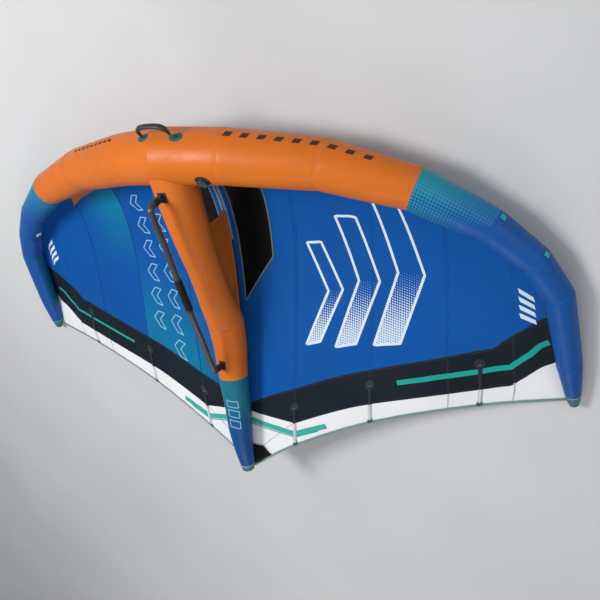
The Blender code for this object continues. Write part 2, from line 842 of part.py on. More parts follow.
def build_web():
    top_side = STRUT_SIDES // 4
    top = web_top_line()
    bottom = [strut_ring(k, 2 * GAP)[top_side] for k in range(len(STRUT_SHARES) - 1)]
    keys = [p.y for p in top]
    upper = [p for p in top if p.y > WEB_FRONT]
    lower = [p for p in bottom if p.y > WEB_FRONT]
    first_top = polyline(top, keys, WEB_FRONT)
    first_bottom = polyline(bottom, [p.y for p in bottom], WEB_FRONT)
    front = []
    for k in range(1, WEB_STEPS):
        share = k / WEB_STEPS
        point = first_bottom.lerp(first_top, share)
        point.y += WEB_FRONT_HOLLOW * sin(pi * share)
        front.append(point)
    last = lower[-1]
    upper = [p for p in upper if p.y < last.y + GAP] + [polyline(top, keys, last.y + 2 * GAP)]
    outline = [first_top] + upper + lower[::-1] + [first_bottom] + front
    clean = [outline[0]]
    for point in outline[1:]:
        if (point - clean[-1]).length > GAP:
            clean.append(point)
    count = len(clean)
    half = Vector((WEB_CLOTH / 2, 0, 0))
    points = [Vector((0, p.y, p.z)) + half for p in clean] + [Vector((0, p.y, p.z)) - half for p in clean]
    faces = [tuple(range(count)), tuple(range(2 * count - 1, count - 1, -1))]
    for k in range(count):
        n = (k + 1) % count
        faces.append((n, k, count + k, count + n))
    make("strut_web", points, faces, material(ORANGE_SHADE, 0.60))


# Boom


def box(name, centre, axes, sizes, surface=None, origin=(0.0, 0.0, 0.0)):
    points = []
    for k in range(8):
        signs = [1 if k >> n & 1 else -1 for n in range(3)]
        points.append(centre + sum((axes[n] * (signs[n] * sizes[n] / 2) for n in range(3)), Vector()))
    faces = [(0, 2, 3, 1), (4, 5, 7, 6), (0, 1, 5, 4), (2, 6, 7, 3), (0, 4, 6, 2), (1, 3, 7, 5)]
    return make(name, points, faces, surface, origin)


def rod(name, start, end, radius, sides, surface=None, origin=(0.0, 0.0, 0.0)):
    axis = (end - start).normalized()
    helper = Vector((1, 0, 0)) if abs(axis.x) < 0.9 else Vector((0, 0, 1))
    across = axis.cross(helper).normalized()
    up = axis.cross(across)
    rings = [circle(p, across, up, radius, sides) for p in (start, end)]
    return make(name, *loft(rings), surface, origin)


def eye_centre(y):
    """The eye hangs under the strut, clear of its webbing anchor."""
    below = strut_edge(y, 3 * STRUT_SIDES // 4, 0.0)
    drop = 2 * GAP + ANCHOR_THICKNESS + EYE_RADIUS + STRAP_THICKNESS
    return Vector((0, y, below.z - drop))


def rounded(points, radius):
    """A polyline with its corners turned into arcs."""
    path = [points[0]]
    for before, here, after in zip(points, points[1:], points[2:]):
        one = (before - here).normalized()
        two = (after - here).normalized()
        turn = pi - one.angle(two)
        reach = radius * abs(sin(turn / 2) / cos(turn / 2))
        reach = min(reach, (before - here).length / 2, (after - here).length / 2)
        if turn < radians(BOOM_PLAIN_TURN):
            path.append(here)
            continue
        steps = ceil(turn / radians(BOOM_TURN_STEP))
        start = here + one * reach
        end = here + two * reach
        for k in range(steps + 1):
            t = k / steps
            path.append(start * (1 - t) ** 2 + here * (2 * t * (1 - t)) + end * t**2)
    path.append(points[-1])
    return path


def stretch(path, start, end):
    """The part of a path between two distances along it."""
    distances = [0.0]
    for a, b in zip(path, path[1:]):
        distances.append(distances[-1] + (b - a).length)
    inside = [p for p, d in zip(path, distances) if start + 2 * GAP < d < end - 2 * GAP]
    return [polyline(path, distances, start)] + inside + [polyline(path, distances, end)], distances[-1]


def swept(path, radius, sides):
    """Rings of a tube along a path that lies in the plane x = 0."""
    rings = []
    across = Vector((1, 0, 0))
    for k, point in enumerate(path):
        before = path[max(k - 1, 0)]
        after = path[min(k + 1, len(path) - 1)]
        one = (point - before).normalized() if k else (after - point).normalized()
        two = (after - point).normalized() if k + 1 < len(path) else one
        direction = (one + two).normalized()
        rings.append(circle(point, across, across.cross(direction), radius, sides))
    return rings


def boom_corners():
    return [Vector((0, BOOM_FRONT + y * BOOM_LENGTH, z * BOOM_DROP)) for y, z in BOOM_SHARES]


def boom_path():
    front = eye_centre(BOOM_FRONT)
    rear = eye_centre(BOOM_FRONT + BOOM_LENGTH)
    return rounded([front] + boom_corners() + [rear], BOOM_BEND), front, rear


def strut_pad(name, y, surface):
    """A sewn patch that lies on the strut's lower side, edge for edge."""
    bottom = 3 * STRUT_SIDES // 4
    sides = range(bottom - ANCHOR_SIDES // 2, bottom + ANCHOR_SIDES // 2 + 1)
    seams = [strut_seam(k)[0].y for k in range(len(STRUT_SHARES))]
    start = y - ANCHOR_LENGTH / 2
    end = y + ANCHOR_LENGTH / 2
    places = [start] + [s for s in seams if start + GAP < s < end - GAP] + [end]
    rings = []
    for place in places:
        low = [strut_pad_point(place, side, GAP) for side in sides]
        high = [strut_pad_point(place, side, GAP + ANCHOR_THICKNESS) for side in sides]
        rings.append(low + high[::-1])
    return make(name, *loft(rings), surface)


def strut_pad_point(y, side, offset):
    if y < strut_seam(0)[0].y:
        ring = strut_ring(0, offset)
        flat = strut_start_ring(offset)
        share = (y - flat[side].y) / (ring[side].y - flat[side].y)
        return flat[side].lerp(ring[side], share)
    return strut_edge(y, side, offset)


def build_boom():
    path, front, rear = boom_path()
    axis = (rear - front).normalized()
    _, length = stretch(path, 0.0, EYE_STEM)
    carbon = material(CARBON, 0.45)
    plastic = material(GRIP_BLACK, 0.50)
    webbing = material(WEBBING, 0.80)
    middle, _ = stretch(path, EYE_STEM, length - EYE_STEM)
    make("boom_tube", *loft(swept(middle, BOOM_RADIUS, BOOM_SIDES)), carbon, front)
    build_grip(front)
    ends = (("front", front, 0.0, EYE_STEM - GAP), ("rear", rear, length - EYE_STEM + GAP, length))
    for name, eye, start, end in ends:
        half = axis * (EYE_LENGTH / 2)
        near = eye - half
        far = eye + half
        fitting = rod(f"boom_{name}_fitting", near, far, EYE_RADIUS, EYE_SIDES, plastic, front)
        part, _ = stretch(path, start, end)
        stem = make(f"boom_{name}_stem", *loft(swept(part, BOOM_RADIUS, BOOM_SIDES)), None, front)
        combine(fitting, stem, "UNION")
        through = axis * OVERRUN
        bore = rod(f"boom_{name}_bore", eye - through, eye + through, EYE_BORE, EYE_SIDES)
        combine(fitting, bore, "DIFFERENCE")
        pad = strut_pad(f"boom_{name}_anchor", eye.y, webbing)
        combine(pad, strap(f"boom_{name}_strap", eye, axis), "UNION")


def strap(name, eye, axis):
    """Webbing that leaves the patch, runs through the eye and is sewn down again."""
    down = Vector((1, 0, 0)).cross(axis)
    if down.z > 0:
        down = -down
    rings = []
    depth = EYE_RADIUS + STRAP_THICKNESS + ANCHOR_THICKNESS / 2
    half = STRAP_THICKNESS / 2
    reach = STRAP_FLAT / 2
    for along, lift in ((-STRAP_REACH, depth), (-reach, 0.0), (reach, 0.0), (STRAP_REACH, depth)):
        base = eye + axis * along
        if lift:
            touch = strut_pad_point(base.y, 3 * STRUT_SIDES // 4, GAP + ANCHOR_THICKNESS)
            base = Vector((0, base.y, touch.z))
        ring = []
        for x, z in ((-1, -1), (1, -1), (1, 1), (-1, 1)):
            ring.append(base + Vector((x * STRAP_HALF_WIDTH, 0, 0)) + down * (z * half))
        rings.append(ring)
    return make(name, *loft(rings))


def build_grip(origin):
    start_row, end_row = boom_corners()[3:5]
    direction = (end_row - start_row).normalized()
    first = start_row + direction * (BOOM_FRONT + BOOM_GRIP_START * BOOM_LENGTH - start_row.y)
    last = first + direction * BOOM_GRIP_LENGTH
    across = Vector((1, 0, 0))
    up = across.cross(direction)
    wide = BOOM_RADIUS + BOOM_GRIP_WALL
    outer = []
    inner = []
    for share, size in ((0.0, -BOOM_GRIP_WALL / 2), (0.03, 0.0), (0.97, 0.0), (1.0, -BOOM_GRIP_WALL / 2)):
        place = first.lerp(last, share)
        outer.append(circle(place, across, up, wide + size, BOOM_SIDES))
        inner.append(circle(place, across, up, BOOM_RADIUS + GAP, BOOM_SIDES))
    make("boom_grip", *loft(outer, inner, True), material(GRIP_BLACK, 0.75), origin)


# Neutral handle


def le_place(x, side, offset):
    """A point on one long edge of the centre panel at a given x."""
    near = le_ring(0, offset)[side % LE_SIDES]
    far = le_ring(1 if x >= 0 else -1, offset)[side % LE_SIDES]
    return near.lerp(far, (x - near.x) / (far.x - near.x))


def le_pad(name, x, length, sides, thickness, surface):
    """A sewn patch on the centre panel, edge for edge on its facets."""
    rings = []
    for place in (x - length / 2, x + length / 2):
        low = [le_place(place, side, GAP) for side in sides]
        high = [le_place(place, side, GAP + thickness) for side in sides]
        rings.append(low + high[::-1])
    return make(name, *loft(rings), surface)


def build_neutral_handle():
    webbing = material(WEBBING, 0.80)
    out = le_ring(0)[HANDLE_SIDE].normalized()
    along = Vector((1, 0, 0))
    tangent = out.cross(along)
    seat = GAP + FOOT_THICKNESS + GAP + HANDLE_NECK + HANDLE_NECK * 0.1
    ends = [HANDLE_CENTRE - HANDLE_SPAN / 2, HANDLE_CENTRE + HANDLE_SPAN / 2]
    heights = [le_place(x, HANDLE_SIDE, 0.0).dot(out) for x in ends]
    level = max(heights) + seat
    middle = le_place(HANDLE_CENTRE, HANDLE_SIDE, 0.0)
    base = middle - out * middle.dot(out) + out * level
    for name, x, height in zip(("right", "left"), ends, heights):
        sides = range(HANDLE_SIDE - 1, HANDLE_SIDE + 2)
        foot = le_pad(f"neutral_handle_{name}_foot", x, FOOT_LENGTH, sides, FOOT_THICKNESS, webbing)
        low = height - FOOT_THICKNESS
        high = level + HANDLE_NECK
        for n, sign in enumerate((-1, 1)):
            place = x + sign * (HANDLE_THICKNESS / 2 + 2 * GAP + FOOT_EAR / 2)
            centre = base + along * (place - base.x) + out * ((low + high) / 2 - level)
            sizes = (FOOT_EAR, FOOT_EAR_WIDTH, high - low)
            inside = Vector((place, 0, 0)) - along * place
            ear = box(f"neutral_{name}_ear_{n}", centre + inside, (along, tangent, out), sizes)
            combine(foot, ear, "UNION")
        trim_to_sleeve(foot, f"neutral_{name}_trim")
    build_handle_band(base, along, tangent, out, webbing)


def trim_to_sleeve(obj, name):
    """Cuts away what would reach below the patch, into the sleeve."""
    combine(obj, make(name, *le_solid(1, GAP)), "DIFFERENCE")


def build_handle_band(base, along, tangent, out, surface):
    half_span = HANDLE_SPAN / 2
    half_width = HANDLE_WIDTH / 2
    side = []
    for angle in (-80, -50, -25, 0):
        side.append((half_span, HANDLE_NECK * sin(radians(angle)), HANDLE_NECK * cos(radians(angle))))
    side.append((half_span, HANDLE_NECK * 0.6, HANDLE_NECK))
    side.append((half_span, HANDLE_RISE, half_width))
    side += [(x * half_span, z * HANDLE_HEIGHT, half_width) for x, z in HANDLE_ARCH_SHARES]
    whole = [(-x, z, w) for x, z, w in side] + [(x, z, w) for x, z, w in side[-2::-1]]
    rings = []
    flat = [Vector((x, z)) for x, z, _ in whole]
    for k, (x, z, w) in enumerate(whole):
        before = flat[max(k - 1, 0)]
        after = flat[min(k + 1, len(flat) - 1)]
        if z < HANDLE_RISE * 0.9:
            direction = Vector((0, 1 if k < len(whole) / 2 else -1))
        else:
            direction = (after - before).normalized()
        normal = Vector((-direction.y, direction.x))
        ring = []
        for a, b in ((-1, -1), (1, -1), (1, 1), (-1, 1)):
            place = flat[k] + normal * (a * HANDLE_THICKNESS / 2)
            point = base + along * place.x + out * place.y + tangent * (b * w)
            ring.append(point)
        rings.append(ring)
    make("neutral_handle", *loft(rings), surface, base)


# Valve


def build_valve(centre_sleeve, bladder_skin):
    a0 = le_place(VALVE_PLACE, VALVE_SIDE, 0.0)
    a1 = le_place(VALVE_PLACE, VALVE_SIDE + 1, 0.0)
    seat = (a0 + a1) / 2
    along = (le_seam(1)[0] - le_seam(0)[0]).normalized()
    tangent = (a1 - a0).normalized()
    out = along.cross(tangent).normalized()
    if out.dot(seat - le_seam(0)[0].lerp(le_seam(1)[0], VALVE_PLACE / le_seam(1)[0].x)) < 0:
        out = -out
    tangent = out.cross(along).normalized()
    black = material(GRIP_BLACK, 0.45)
    deep = seat - out * OVERRUN
    high = seat + out * OVERRUN
    hole = rod("valve_hole_cutter", deep, high, VALVE_RADIUS + 2 * GAP, VALVE_SIDES)
    combine(centre_sleeve, hole, "DIFFERENCE")
    mouth = rod("valve_mouth_cutter", deep, high, VALVE_WELL_RADIUS, VALVE_SIDES)
    combine(bladder_skin, mouth, "DIFFERENCE")
    sides = range(VALVE_SIDE - 1, VALVE_SIDE + 3)
    length = 3 * VALVE_PATCH_RADIUS
    pad = le_pad("valve_patch", VALVE_PLACE, length, sides, VALVE_PATCH, material(WEBBING, 0.80))
    disc = rod("valve_patch_outline", deep, high, VALVE_PATCH_RADIUS, VALVE_SIDES)
    combine(pad, disc, "INTERSECT")
    combine(pad, hole, "DIFFERENCE")
    base = VALVE_PATCH + VALVE_SEAT
    rim = base + VALVE_HEIGHT
    body = rod("valve_body", deep, seat + out * rim, VALVE_RADIUS, VALVE_SIDES, black)
    flange_low = seat + out * base
    flange_high = flange_low + out * VALVE_FLANGE
    flange = rod("valve_flange", flange_low, flange_high, VALVE_FLANGE_RADIUS, VALVE_SIDES)
    combine(body, flange, "UNION")
    hinge_t = -(VALVE_CAP_RADIUS + 1.5 * VALVE_HINGE_RADIUS)
    hinge_n = rim + GAP + VALVE_CAP / 2
    hinge = seat + tangent * hinge_t + out * hinge_n
    post_top = hinge_n - VALVE_HINGE_RADIUS - GAP
    post_low = base + VALVE_FLANGE * 0.25
    post_start = hinge_t - VALVE_HINGE_RADIUS
    post_end = -VALVE_RADIUS * 0.95
    post = box(
        "valve_hinge_post",
        seat + tangent * ((post_start + post_end) / 2) + out * ((post_top + post_low) / 2),
        (along, tangent, out),
        (VALVE_HINGE_LENGTH, post_end - post_start, post_top - post_low),
    )
    combine(body, post, "UNION")
    bladder = make("valve_bladder_cutter", *le_solid(1, -SLEEVE_WALL))
    combine(body, bladder, "DIFFERENCE")
    floor = seat + out * (rim - VALVE_WELL)
    well = rod("valve_well", floor, floor + out * OVERRUN, VALVE_WELL_RADIUS, VALVE_SIDES)
    combine(body, well, "DIFFERENCE")
    cap_low = seat + out * (rim + GAP)
    cap_high = cap_low + out * VALVE_CAP
    teal = material(VALVE_TEAL, 0.40)
    cap = rod("valve_cap", cap_low, cap_high, VALVE_CAP_RADIUS, VALVE_SIDES, teal, hinge)
    half = along * (VALVE_HINGE_LENGTH / 2)
    barrel = rod("valve_cap_barrel", hinge - half, hinge + half, VALVE_HINGE_RADIUS, 16)
    combine(cap, barrel, "UNION")
    tab_end = -VALVE_CAP_RADIUS * 0.9
    tab = box(
        "valve_cap_tab",
        seat + tangent * ((hinge_t + tab_end) / 2) + out * hinge_n,
        (along, tangent, out),
        (VALVE_HINGE_LENGTH * 0.8, tab_end - hinge_t, VALVE_CAP * 0.6),
    )
    combine(cap, tab, "UNION")


def build_duct(centre_sleeve, le_skin, strut_skin):
    """Lets the leading edge fill the strut."""
    back = Vector((0, 1, 0))
    start = back * (le_place(DUCT_RADIUS, 0, -SLEEVE_WALL - GAP).y + GAP)
    end = back * (strut_nose() - GAP)
    hole = rod("duct_hole", start - back * OVERRUN, start + back * OVERRUN, DUCT_RADIUS + GAP, DUCT_SIDES)
    combine(centre_sleeve, hole, "DIFFERENCE")
    bore = rod("duct_bore", start - back * OVERRUN, end + back * OVERRUN, DUCT_RADIUS - DUCT_WALL, DUCT_SIDES)
    combine(le_skin, bore, "DIFFERENCE")
    combine(strut_skin, bore, "DIFFERENCE")
    duct = rod("transfer_duct", start, end, DUCT_RADIUS, DUCT_SIDES, material(BLADDER, 0.35))
    combine(duct, bore, "DIFFERENCE")


# Rest on the ground


def volume_and_centre(obj):
    shape = bmesh.new()
    shape.from_mesh(obj.data)
    bmesh.ops.triangulate(shape, faces=shape.faces)
    total = 0.0
    moment = Vector()
    for face in shape.faces:
        a, b, c = (v.co for v in face.verts)
        part = a.dot(b.cross(c)) / 6
        total += part
        moment += (a + b + c) / 4 * part
    shape.free()
    return total, moment + obj.location * total


def lay_down():
    """Turns the wing onto its back so that its lowest edge line lies on the ground."""
    total = 0.0
    moment = Vector()
    for obj in BUILT:
        if "bladder" in obj.name:
            continue
        part, turned = volume_and_centre(obj)
        total += part
        moment += turned
    balance = moment.y / total
    outline = sorted({(v.co.y + o.location.y, v.co.z + o.location.z) for o in BUILT for v in o.data.vertices})
    hull = []
    for point in outline:
        while len(hull) > 1:
            (y0, z0), (y1, z1) = hull[-2:]
            if (y1 - y0) * (point[1] - z0) - (z1 - z0) * (point[0] - y0) < 0:
                break
            hull.pop()
        hull.append(point)
    for (y0, z0), (y1, z1) in zip(hull, hull[1:]):
        if y0 <= balance <= y1:
            pitch = -atan2(z1 - z0, y1 - y0)
    turn = Matrix.Rotation(pi, 4, "Y") @ Matrix.Rotation(pitch, 4, "X")
    world = [turn @ (v.co + o.location) for o in BUILT for v in o.data.vertices]
    low = [min(p[i] for p in world) for i in range(3)]
    high = [max(p[i] for p in world) for i in range(3)]
    shift = Vector((-(low[0] + high[0]) / 2, -(low[1] + high[1]) / 2, -low[2]))
    FRAME.matrix_world = Matrix.Translation(shift) @ turn


centre_sleeve, le_skin = build_leading_edge()
strut_skin = build_strut()
build_canopy()
build_battens()
build_web()
build_boom()
build_neutral_handle()
build_valve(centre_sleeve, le_skin)
build_duct(centre_sleeve, le_skin, strut_skin)
lay_down()
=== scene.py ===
"""Looks of an inflatable wingfoil wing of about 5 square metres.

Every shape is worked out in the wing's flying attitude, where the centre of the
leading edge is the origin, +X runs to the flyer's left tip, +Y runs aft and +Z
is the canopy's upper side. lay() then puts it on its back on the ground, where
the solids lie. u is a share of the half span, v a share of the chord, and a
place on the leading edge is a seam number, negative on the flyer's right.
"""

import json

import bpy
import numpy as np
from mathutils import Matrix, Vector


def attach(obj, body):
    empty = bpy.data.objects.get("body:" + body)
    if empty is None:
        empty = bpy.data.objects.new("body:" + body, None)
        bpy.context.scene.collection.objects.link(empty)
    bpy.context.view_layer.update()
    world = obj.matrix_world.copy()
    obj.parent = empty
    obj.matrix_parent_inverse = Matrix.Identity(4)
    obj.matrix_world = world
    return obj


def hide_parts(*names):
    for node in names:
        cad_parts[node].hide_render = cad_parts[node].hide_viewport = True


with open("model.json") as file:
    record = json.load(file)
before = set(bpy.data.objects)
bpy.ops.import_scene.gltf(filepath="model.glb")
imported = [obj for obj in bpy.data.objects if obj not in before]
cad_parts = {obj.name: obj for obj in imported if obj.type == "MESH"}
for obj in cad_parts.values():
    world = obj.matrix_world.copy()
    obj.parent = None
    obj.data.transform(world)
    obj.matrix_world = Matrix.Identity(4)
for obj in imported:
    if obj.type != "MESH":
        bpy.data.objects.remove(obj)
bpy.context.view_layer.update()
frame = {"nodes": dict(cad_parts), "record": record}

SIDES = ((1, "left"), (-1, "right"))
FACES = ((-1, "under"), (1, "upper"))
ACROSS = np.array([1.0, 0.0, 0.0])

# How the wing lies: its pitch on the ground, and where its origin goes
LAY_TURN = np.array([
    [-1.0, 0.0, 0.0],
    [0.0, 0.9972467, -0.0741554],
    [0.0, -0.0741554, -0.9972467],
])
EYE_FRONT = np.array([0.0, 0.1580, -0.1320])
EYE_REAR = np.array([0.0, 1.1250, -0.0851])
BOOM_SWING = frame["record"]["behaviour"]["joints"][0]
LAY_SHIFT = np.array(BOOM_SWING["pos_m"]) - LAY_TURN @ EYE_FRONT

# The photograph's camera, in the flying attitude
CAMERA_PLACE = (2.110, -0.789, -2.232)
CAMERA_RIGHT = (0.8589, 0.1985, 0.4721)
CAMERA_DOWN = (0.0851, 0.8537, -0.5137)
CAMERA_FOCAL_PX = 673
FRAME_PX = 600

# Overall sizes, in metres
HALF_SPAN = 1.690
TIP_SWEEP = 1.300
TIP_RISE = 0.250
CENTRE_CHORD = 1.851
CENTRE_DROOP = 0.061
CANOPY_RISE = 0.215
CLOTH = 0.0012

# Leading edge: span, sweep, rise and radius of each seam, as shares
CENTRE_RADIUS = 0.128
LE_SEAM_SHARES = np.array([
    (0.000, 0.000, 0.000, 1.000),
    (0.180, 0.020, 0.155, 0.975),
    (0.427, 0.078, 0.480, 0.867),
    (0.647, 0.174, 0.660, 0.727),
    (0.817, 0.312, 0.825, 0.602),
    (0.913, 0.436, 0.930, 0.531),
    (0.965, 0.560, 0.980, 0.492),
    (0.987, 0.831, 1.000, 0.414),
    (0.995, 0.956, 1.000, 0.258),
])
TIP_CAP_LENGTH = 0.056
TUBE_SIDES = 96
SEAM_STEPS = (0.0, 0.002, 0.005, 0.009, 0.014, 0.021, 0.030, 0.042, 0.058, 0.078)
PANEL_STEP = 0.035
SEAM_PINCH = 0.0016
SEAM_PINCH_REACH = 0.010
PUCKER = 0.0011
PUCKER_START = 0.006
PUCKER_REACH = 0.045
PUCKER_COUNT = 26
TUBE_BULGE = 0.0012
TUBE_BULGE_REACH = 0.05

# Canopy
TE_HALF_SPAN = HALF_SPAN * 0.975
TE_RISE = 0.334
TE_SHARES = np.array([
    (0.000, 1.0000, 0.000),
    (0.172, 0.9055, 0.174),
    (0.444, 0.8045, 0.467),
    (0.775, 0.7285, 0.790),
    (1.000, 0.6980, 1.000),
])
NOSE_SHARE = 0.60
TAIL_SHARE = 1.70
ATTACH_ANGLE = 60.0
ATTACH_LIFT = 0.00105
LAST_RIB = 6
RIB_SHARES = (0.000, 0.175, 0.440, 0.680, 0.860, 1.000)
RIB_FRONT_SHARES = (0.000, 0.260, 0.500, 0.715, 0.885, 1.000)
PANEL_SHARES = (0.000, 0.175, 0.440, 0.680, 1.000)
BLUE_EDGE = (
    (0.000, 0.785), (0.175, 0.788), (0.434, 0.7795), (0.548, 0.7695), (0.621, 0.7585),
    (0.691, 0.7380), (0.808, 0.688), (0.825, 0.656), (0.857, 0.595), (0.892, 0.535),
    (0.928, 0.457), (0.962, 0.357), (1.000, 0.190),
)
BLACK_EDGE = (
    (0.000, 0.797), (0.175, 0.907), (0.390, 0.9095), (0.548, 0.9151), (0.621, 0.9145),
    (0.691, 0.9091), (0.790, 0.8959), (0.850, 0.880), (0.886, 0.8265), (0.970, 0.680), (1.000, 0.559),
)
CORNER_EDGE = ((0.000, 0.911), (0.052, 0.943), (0.0775, 0.9895), (0.080, 0.9924))
WINDOW_SPAN = (0.0215, 0.1125)
WINDOW_FRONT = 0.080
WINDOW_REAR = ((0.000, 0.596), (0.0215, 0.596), (0.1125, 0.4346), (0.175, 0.420), (1.000, 0.420))
SEAM_COLUMNS = tuple(row[0] for row in BLUE_EDGE + BLACK_EDGE + CORNER_EDGE) + WINDOW_SPAN
HEM_WIDTH = 0.014
HEM_THICKNESS = 0.0024
HEM_ROWS = 4
WRINKLE = 0.0013
WRINKLE_REACH = 0.130
BATTENS = ((0.175, 0.850), (0.440, 0.834), (0.770, 0.767))
POCKET_WIDTH = 0.020
POCKET_DEPTH = 0.0066
ROD_WIDTH = 0.012
ROD_THICKNESS = 0.0022
ROD_DEPTH = 0.0041

# Layers on the cloth: how far they stand off it, and their own thickness
TAPE_LIFT = 0.0010
TAPE_THICKNESS = 0.0004
RIB_SEAM_LIFT = 0.0016
RIB_SEAMS = {"left": (0.0080, "blue"), "right": (0.0045, "rib_tape")}
FILL_LIFT = 0.0014
LINE_LIFT = 0.0018
TUBE_PRINT_LIFT = 0.0022
GUSSET_LIFT = 0.0024
BAND_LIFT = 0.0008
PATCH_THICKNESS = 0.0007
TAG_THICKNESS = 0.0008
BAND_STRIPE = (
    (0.526, 0.841), (0.612, 0.837), (0.694, 0.824), (0.775, 0.805),
    (0.850, 0.774), (0.905, 0.677), (0.961, 0.538),
)
ARROWS = ((0.215, 0.30, 0.050, 0.34), (0.320, 0.21, 0.070, 0.46), (0.450, 0.12, 0.085, 0.56))

# Strut: length, rise and radius at each seam, as shares
STRUT_END = 1.813
STRUT_RISE = 0.058
STRUT_RADIUS = 0.107
STRUT_SHARES = np.array([
    (0.0298, -0.050, 1.000),
    (0.0900, -0.050, 1.000),
    (0.1240, -0.035, 0.970),
    (0.1760, 0.020, 0.920),
    (0.2515, 0.140, 0.850),
    (0.3130, 0.330, 0.800),
    (0.3720, 0.480, 0.790),
    (0.4370, 0.640, 0.813),
    (0.5150, 1.000, 0.888),
    (0.5800, 0.720, 0.832),
    (0.6560, 0.120, 0.757),
    (0.7020, -0.260, 0.720),
    (0.7705, -0.640, 0.673),
    (0.8540, -1.280, 0.598),
    (0.9230, -1.620, 0.495),
    (0.9850, -1.845, 0.367),
    (1.0000, -1.900, 0.330),
])
STRUT_FRONT_SEAM = 5
STRUT_KINK = 8
STRUT_CAP_SEAM = 15
STRUT_COLOUR_Y = 1.232
STRUT_STEP = 0.008

# Web
WEB_FRONT = 0.395
WEB_FRONT_HOLLOW = 0.016
WEB_TAPE_WIDTH = 0.012
WEB_TAPE_THICKNESS = 0.0006
BLADDER_GAP = 0.0042

# Boom: its corners are shares of its length and drop behind and below the origin
BOOM_FRONT = 0.158
BOOM_LENGTH = 0.967
BOOM_DROP = 0.206
BOOM_RADIUS = 0.0155
BOOM_BEND = 0.024
BOOM_SHARES = (
    (0.012, -1.000),
    (0.110, -0.970),
    (0.213, -0.915),
    (0.371, -0.883),
    (0.675, -0.777),
    (0.785, -0.712),
    (0.925, -0.680),
    (0.992, -0.640),
)
GRIP_START = 0.405
GRIP_LENGTH = 0.170
GRIP_WALL = 0.0035
GRIP_CORNER = 3
SOCKET_ENDS = (0.012, 0.046)
EYE_RING = 0.0140

# Neutral handle and valve
HANDLE_CENTRE = 0.035
HANDLE_SPAN = 0.166
HANDLE_HEIGHT = 0.060
HANDLE_ANGLE = np.radians(210.0)
HANDLE_SEAT = 0.0073
HANDLE_ARCH = (
    (-1.0, 0.0), (-1.0, 0.30), (-0.93, 0.66), (-0.70, 0.90), (-0.34, 0.99), (0.0, 1.0),
    (0.34, 0.99), (0.70, 0.90), (0.93, 0.66), (1.0, 0.30), (1.0, 0.0),
)
VALVE_X = 0.222
VALVE_ANGLES = np.radians((300.0, 307.5, 315.0))
VALVE_FOOT = 0.0020
VALVE_RIM = 0.0133
VALVE_HINGE = -0.0300

# Colours, linear
ORANGE = (0.600, 0.140, 0.012)
BLUE = (0.002, 0.080, 0.330)
LE_BLUE = (0.004, 0.075, 0.300)
BRIGHT_TEAL = (0.010, 0.330, 0.290)
CAP_GREY = (0.045, 0.140, 0.160)
NAVY_BLACK = (0.009, 0.013, 0.020)
WHITE = (0.780, 0.780, 0.790)
CORNER_BLACK = (0.010, 0.009, 0.008)
HEM_GREY = (0.160, 0.270, 0.250)
WEBBING = (0.014, 0.014, 0.015)


# Small sums


def lay(points):
    return points @ LAY_TURN.T + LAY_SHIFT


def unit(vectors):
    return vectors / np.linalg.norm(vectors, axis=-1, keepdims=True)


def lerp(a, b, t):
    t = np.asarray(t)[..., None]
    return a * (1 - t) + b * t


def pair(a, b):
    return np.stack(np.broadcast_arrays(a, b), axis=-1)


def circle(sides):
    return np.linspace(0, 2 * np.pi, sides + 1)


def around(one, other, angle):
    """The direction at an angle in the plane of two axes."""
    angle = np.asarray(angle)[..., None]
    return one * np.cos(angle) + other * np.sin(angle)


def mirrored(points, side):
    return points * (np.asarray(side)[..., None] * (1, 0, 0) + (0, 1, 1))


def travelled(line):
    """The distance along a line at each of its points."""
    return np.concatenate([[0], np.cumsum(np.linalg.norm(np.diff(line, axis=0), axis=1))])


def square(rows, columns, low=0.0, high=1.0):
    return np.meshgrid(np.linspace(0, 1, rows), np.linspace(low, high, columns), indexing="ij")


def disc(rings, sides, wide, high):
    """Points of an oval in rings, and each ring's share of the radius."""
    r, turn = np.linspace(0.02, 1, rings)[:, None], circle(sides)
    return r * np.cos(turn) * wide, r * np.sin(turn) * high, r


def squared(wave, power):
    """A sine or cosine wave with its power changed, for a rounded rectangle."""
    return np.sign(wave) * np.abs(wave) ** power


def between(corners, s, t):
    """Points among four corners. t runs from the first to the second, s from them to the others."""
    a, b, c, d = (np.array(corner, float) for corner in corners)
    points = lerp(lerp(a, b, t), lerp(d, c, t), s)
    return points[..., 0], points[..., 1]


def closed_line(corners, steps):
    corners = np.array(corners, float)
    t = np.linspace(0, 1, steps, endpoint=False)[:, None]
    line = [a + (b - a) * t for a, b in zip(corners, np.roll(corners, -1, axis=0))]
    return np.concatenate(line).T


def table(rows, x):
    return np.interp(x, [row[0] for row in rows], [row[1] for row in rows])


def polyline(points, keys, x):
    return np.stack([np.interp(x, keys, points[:, i]) for i in range(3)], axis=-1)


def hermite(rows, x):
    """Smooth curve through the rows of a table, whose first column is x."""
    x = np.clip(np.asarray(x, float), rows[0, 0], rows[-1, 0])
    i = np.clip(np.searchsorted(rows[:, 0], x, side="left") - 1, 0, len(rows) - 2)
    slopes = []
    for k in range(len(rows)):
        a, b = rows[max(k - 1, 0)], rows[min(k + 1, len(rows) - 1)]
        slopes.append((b - a) / (b[0] - a[0]))
    slopes = np.array(slopes)
    width = (rows[i + 1, 0] - rows[i, 0])[..., None]
    t = (x - rows[i, 0])[..., None] / width
    start = (2 * t**3 - 3 * t**2 + 1) * rows[i] + (t**3 - 2 * t**2 + t) * slopes[i] * width
    return start + (-2 * t**3 + 3 * t**2) * rows[i + 1] + (t**3 - t**2) * slopes[i + 1] * width


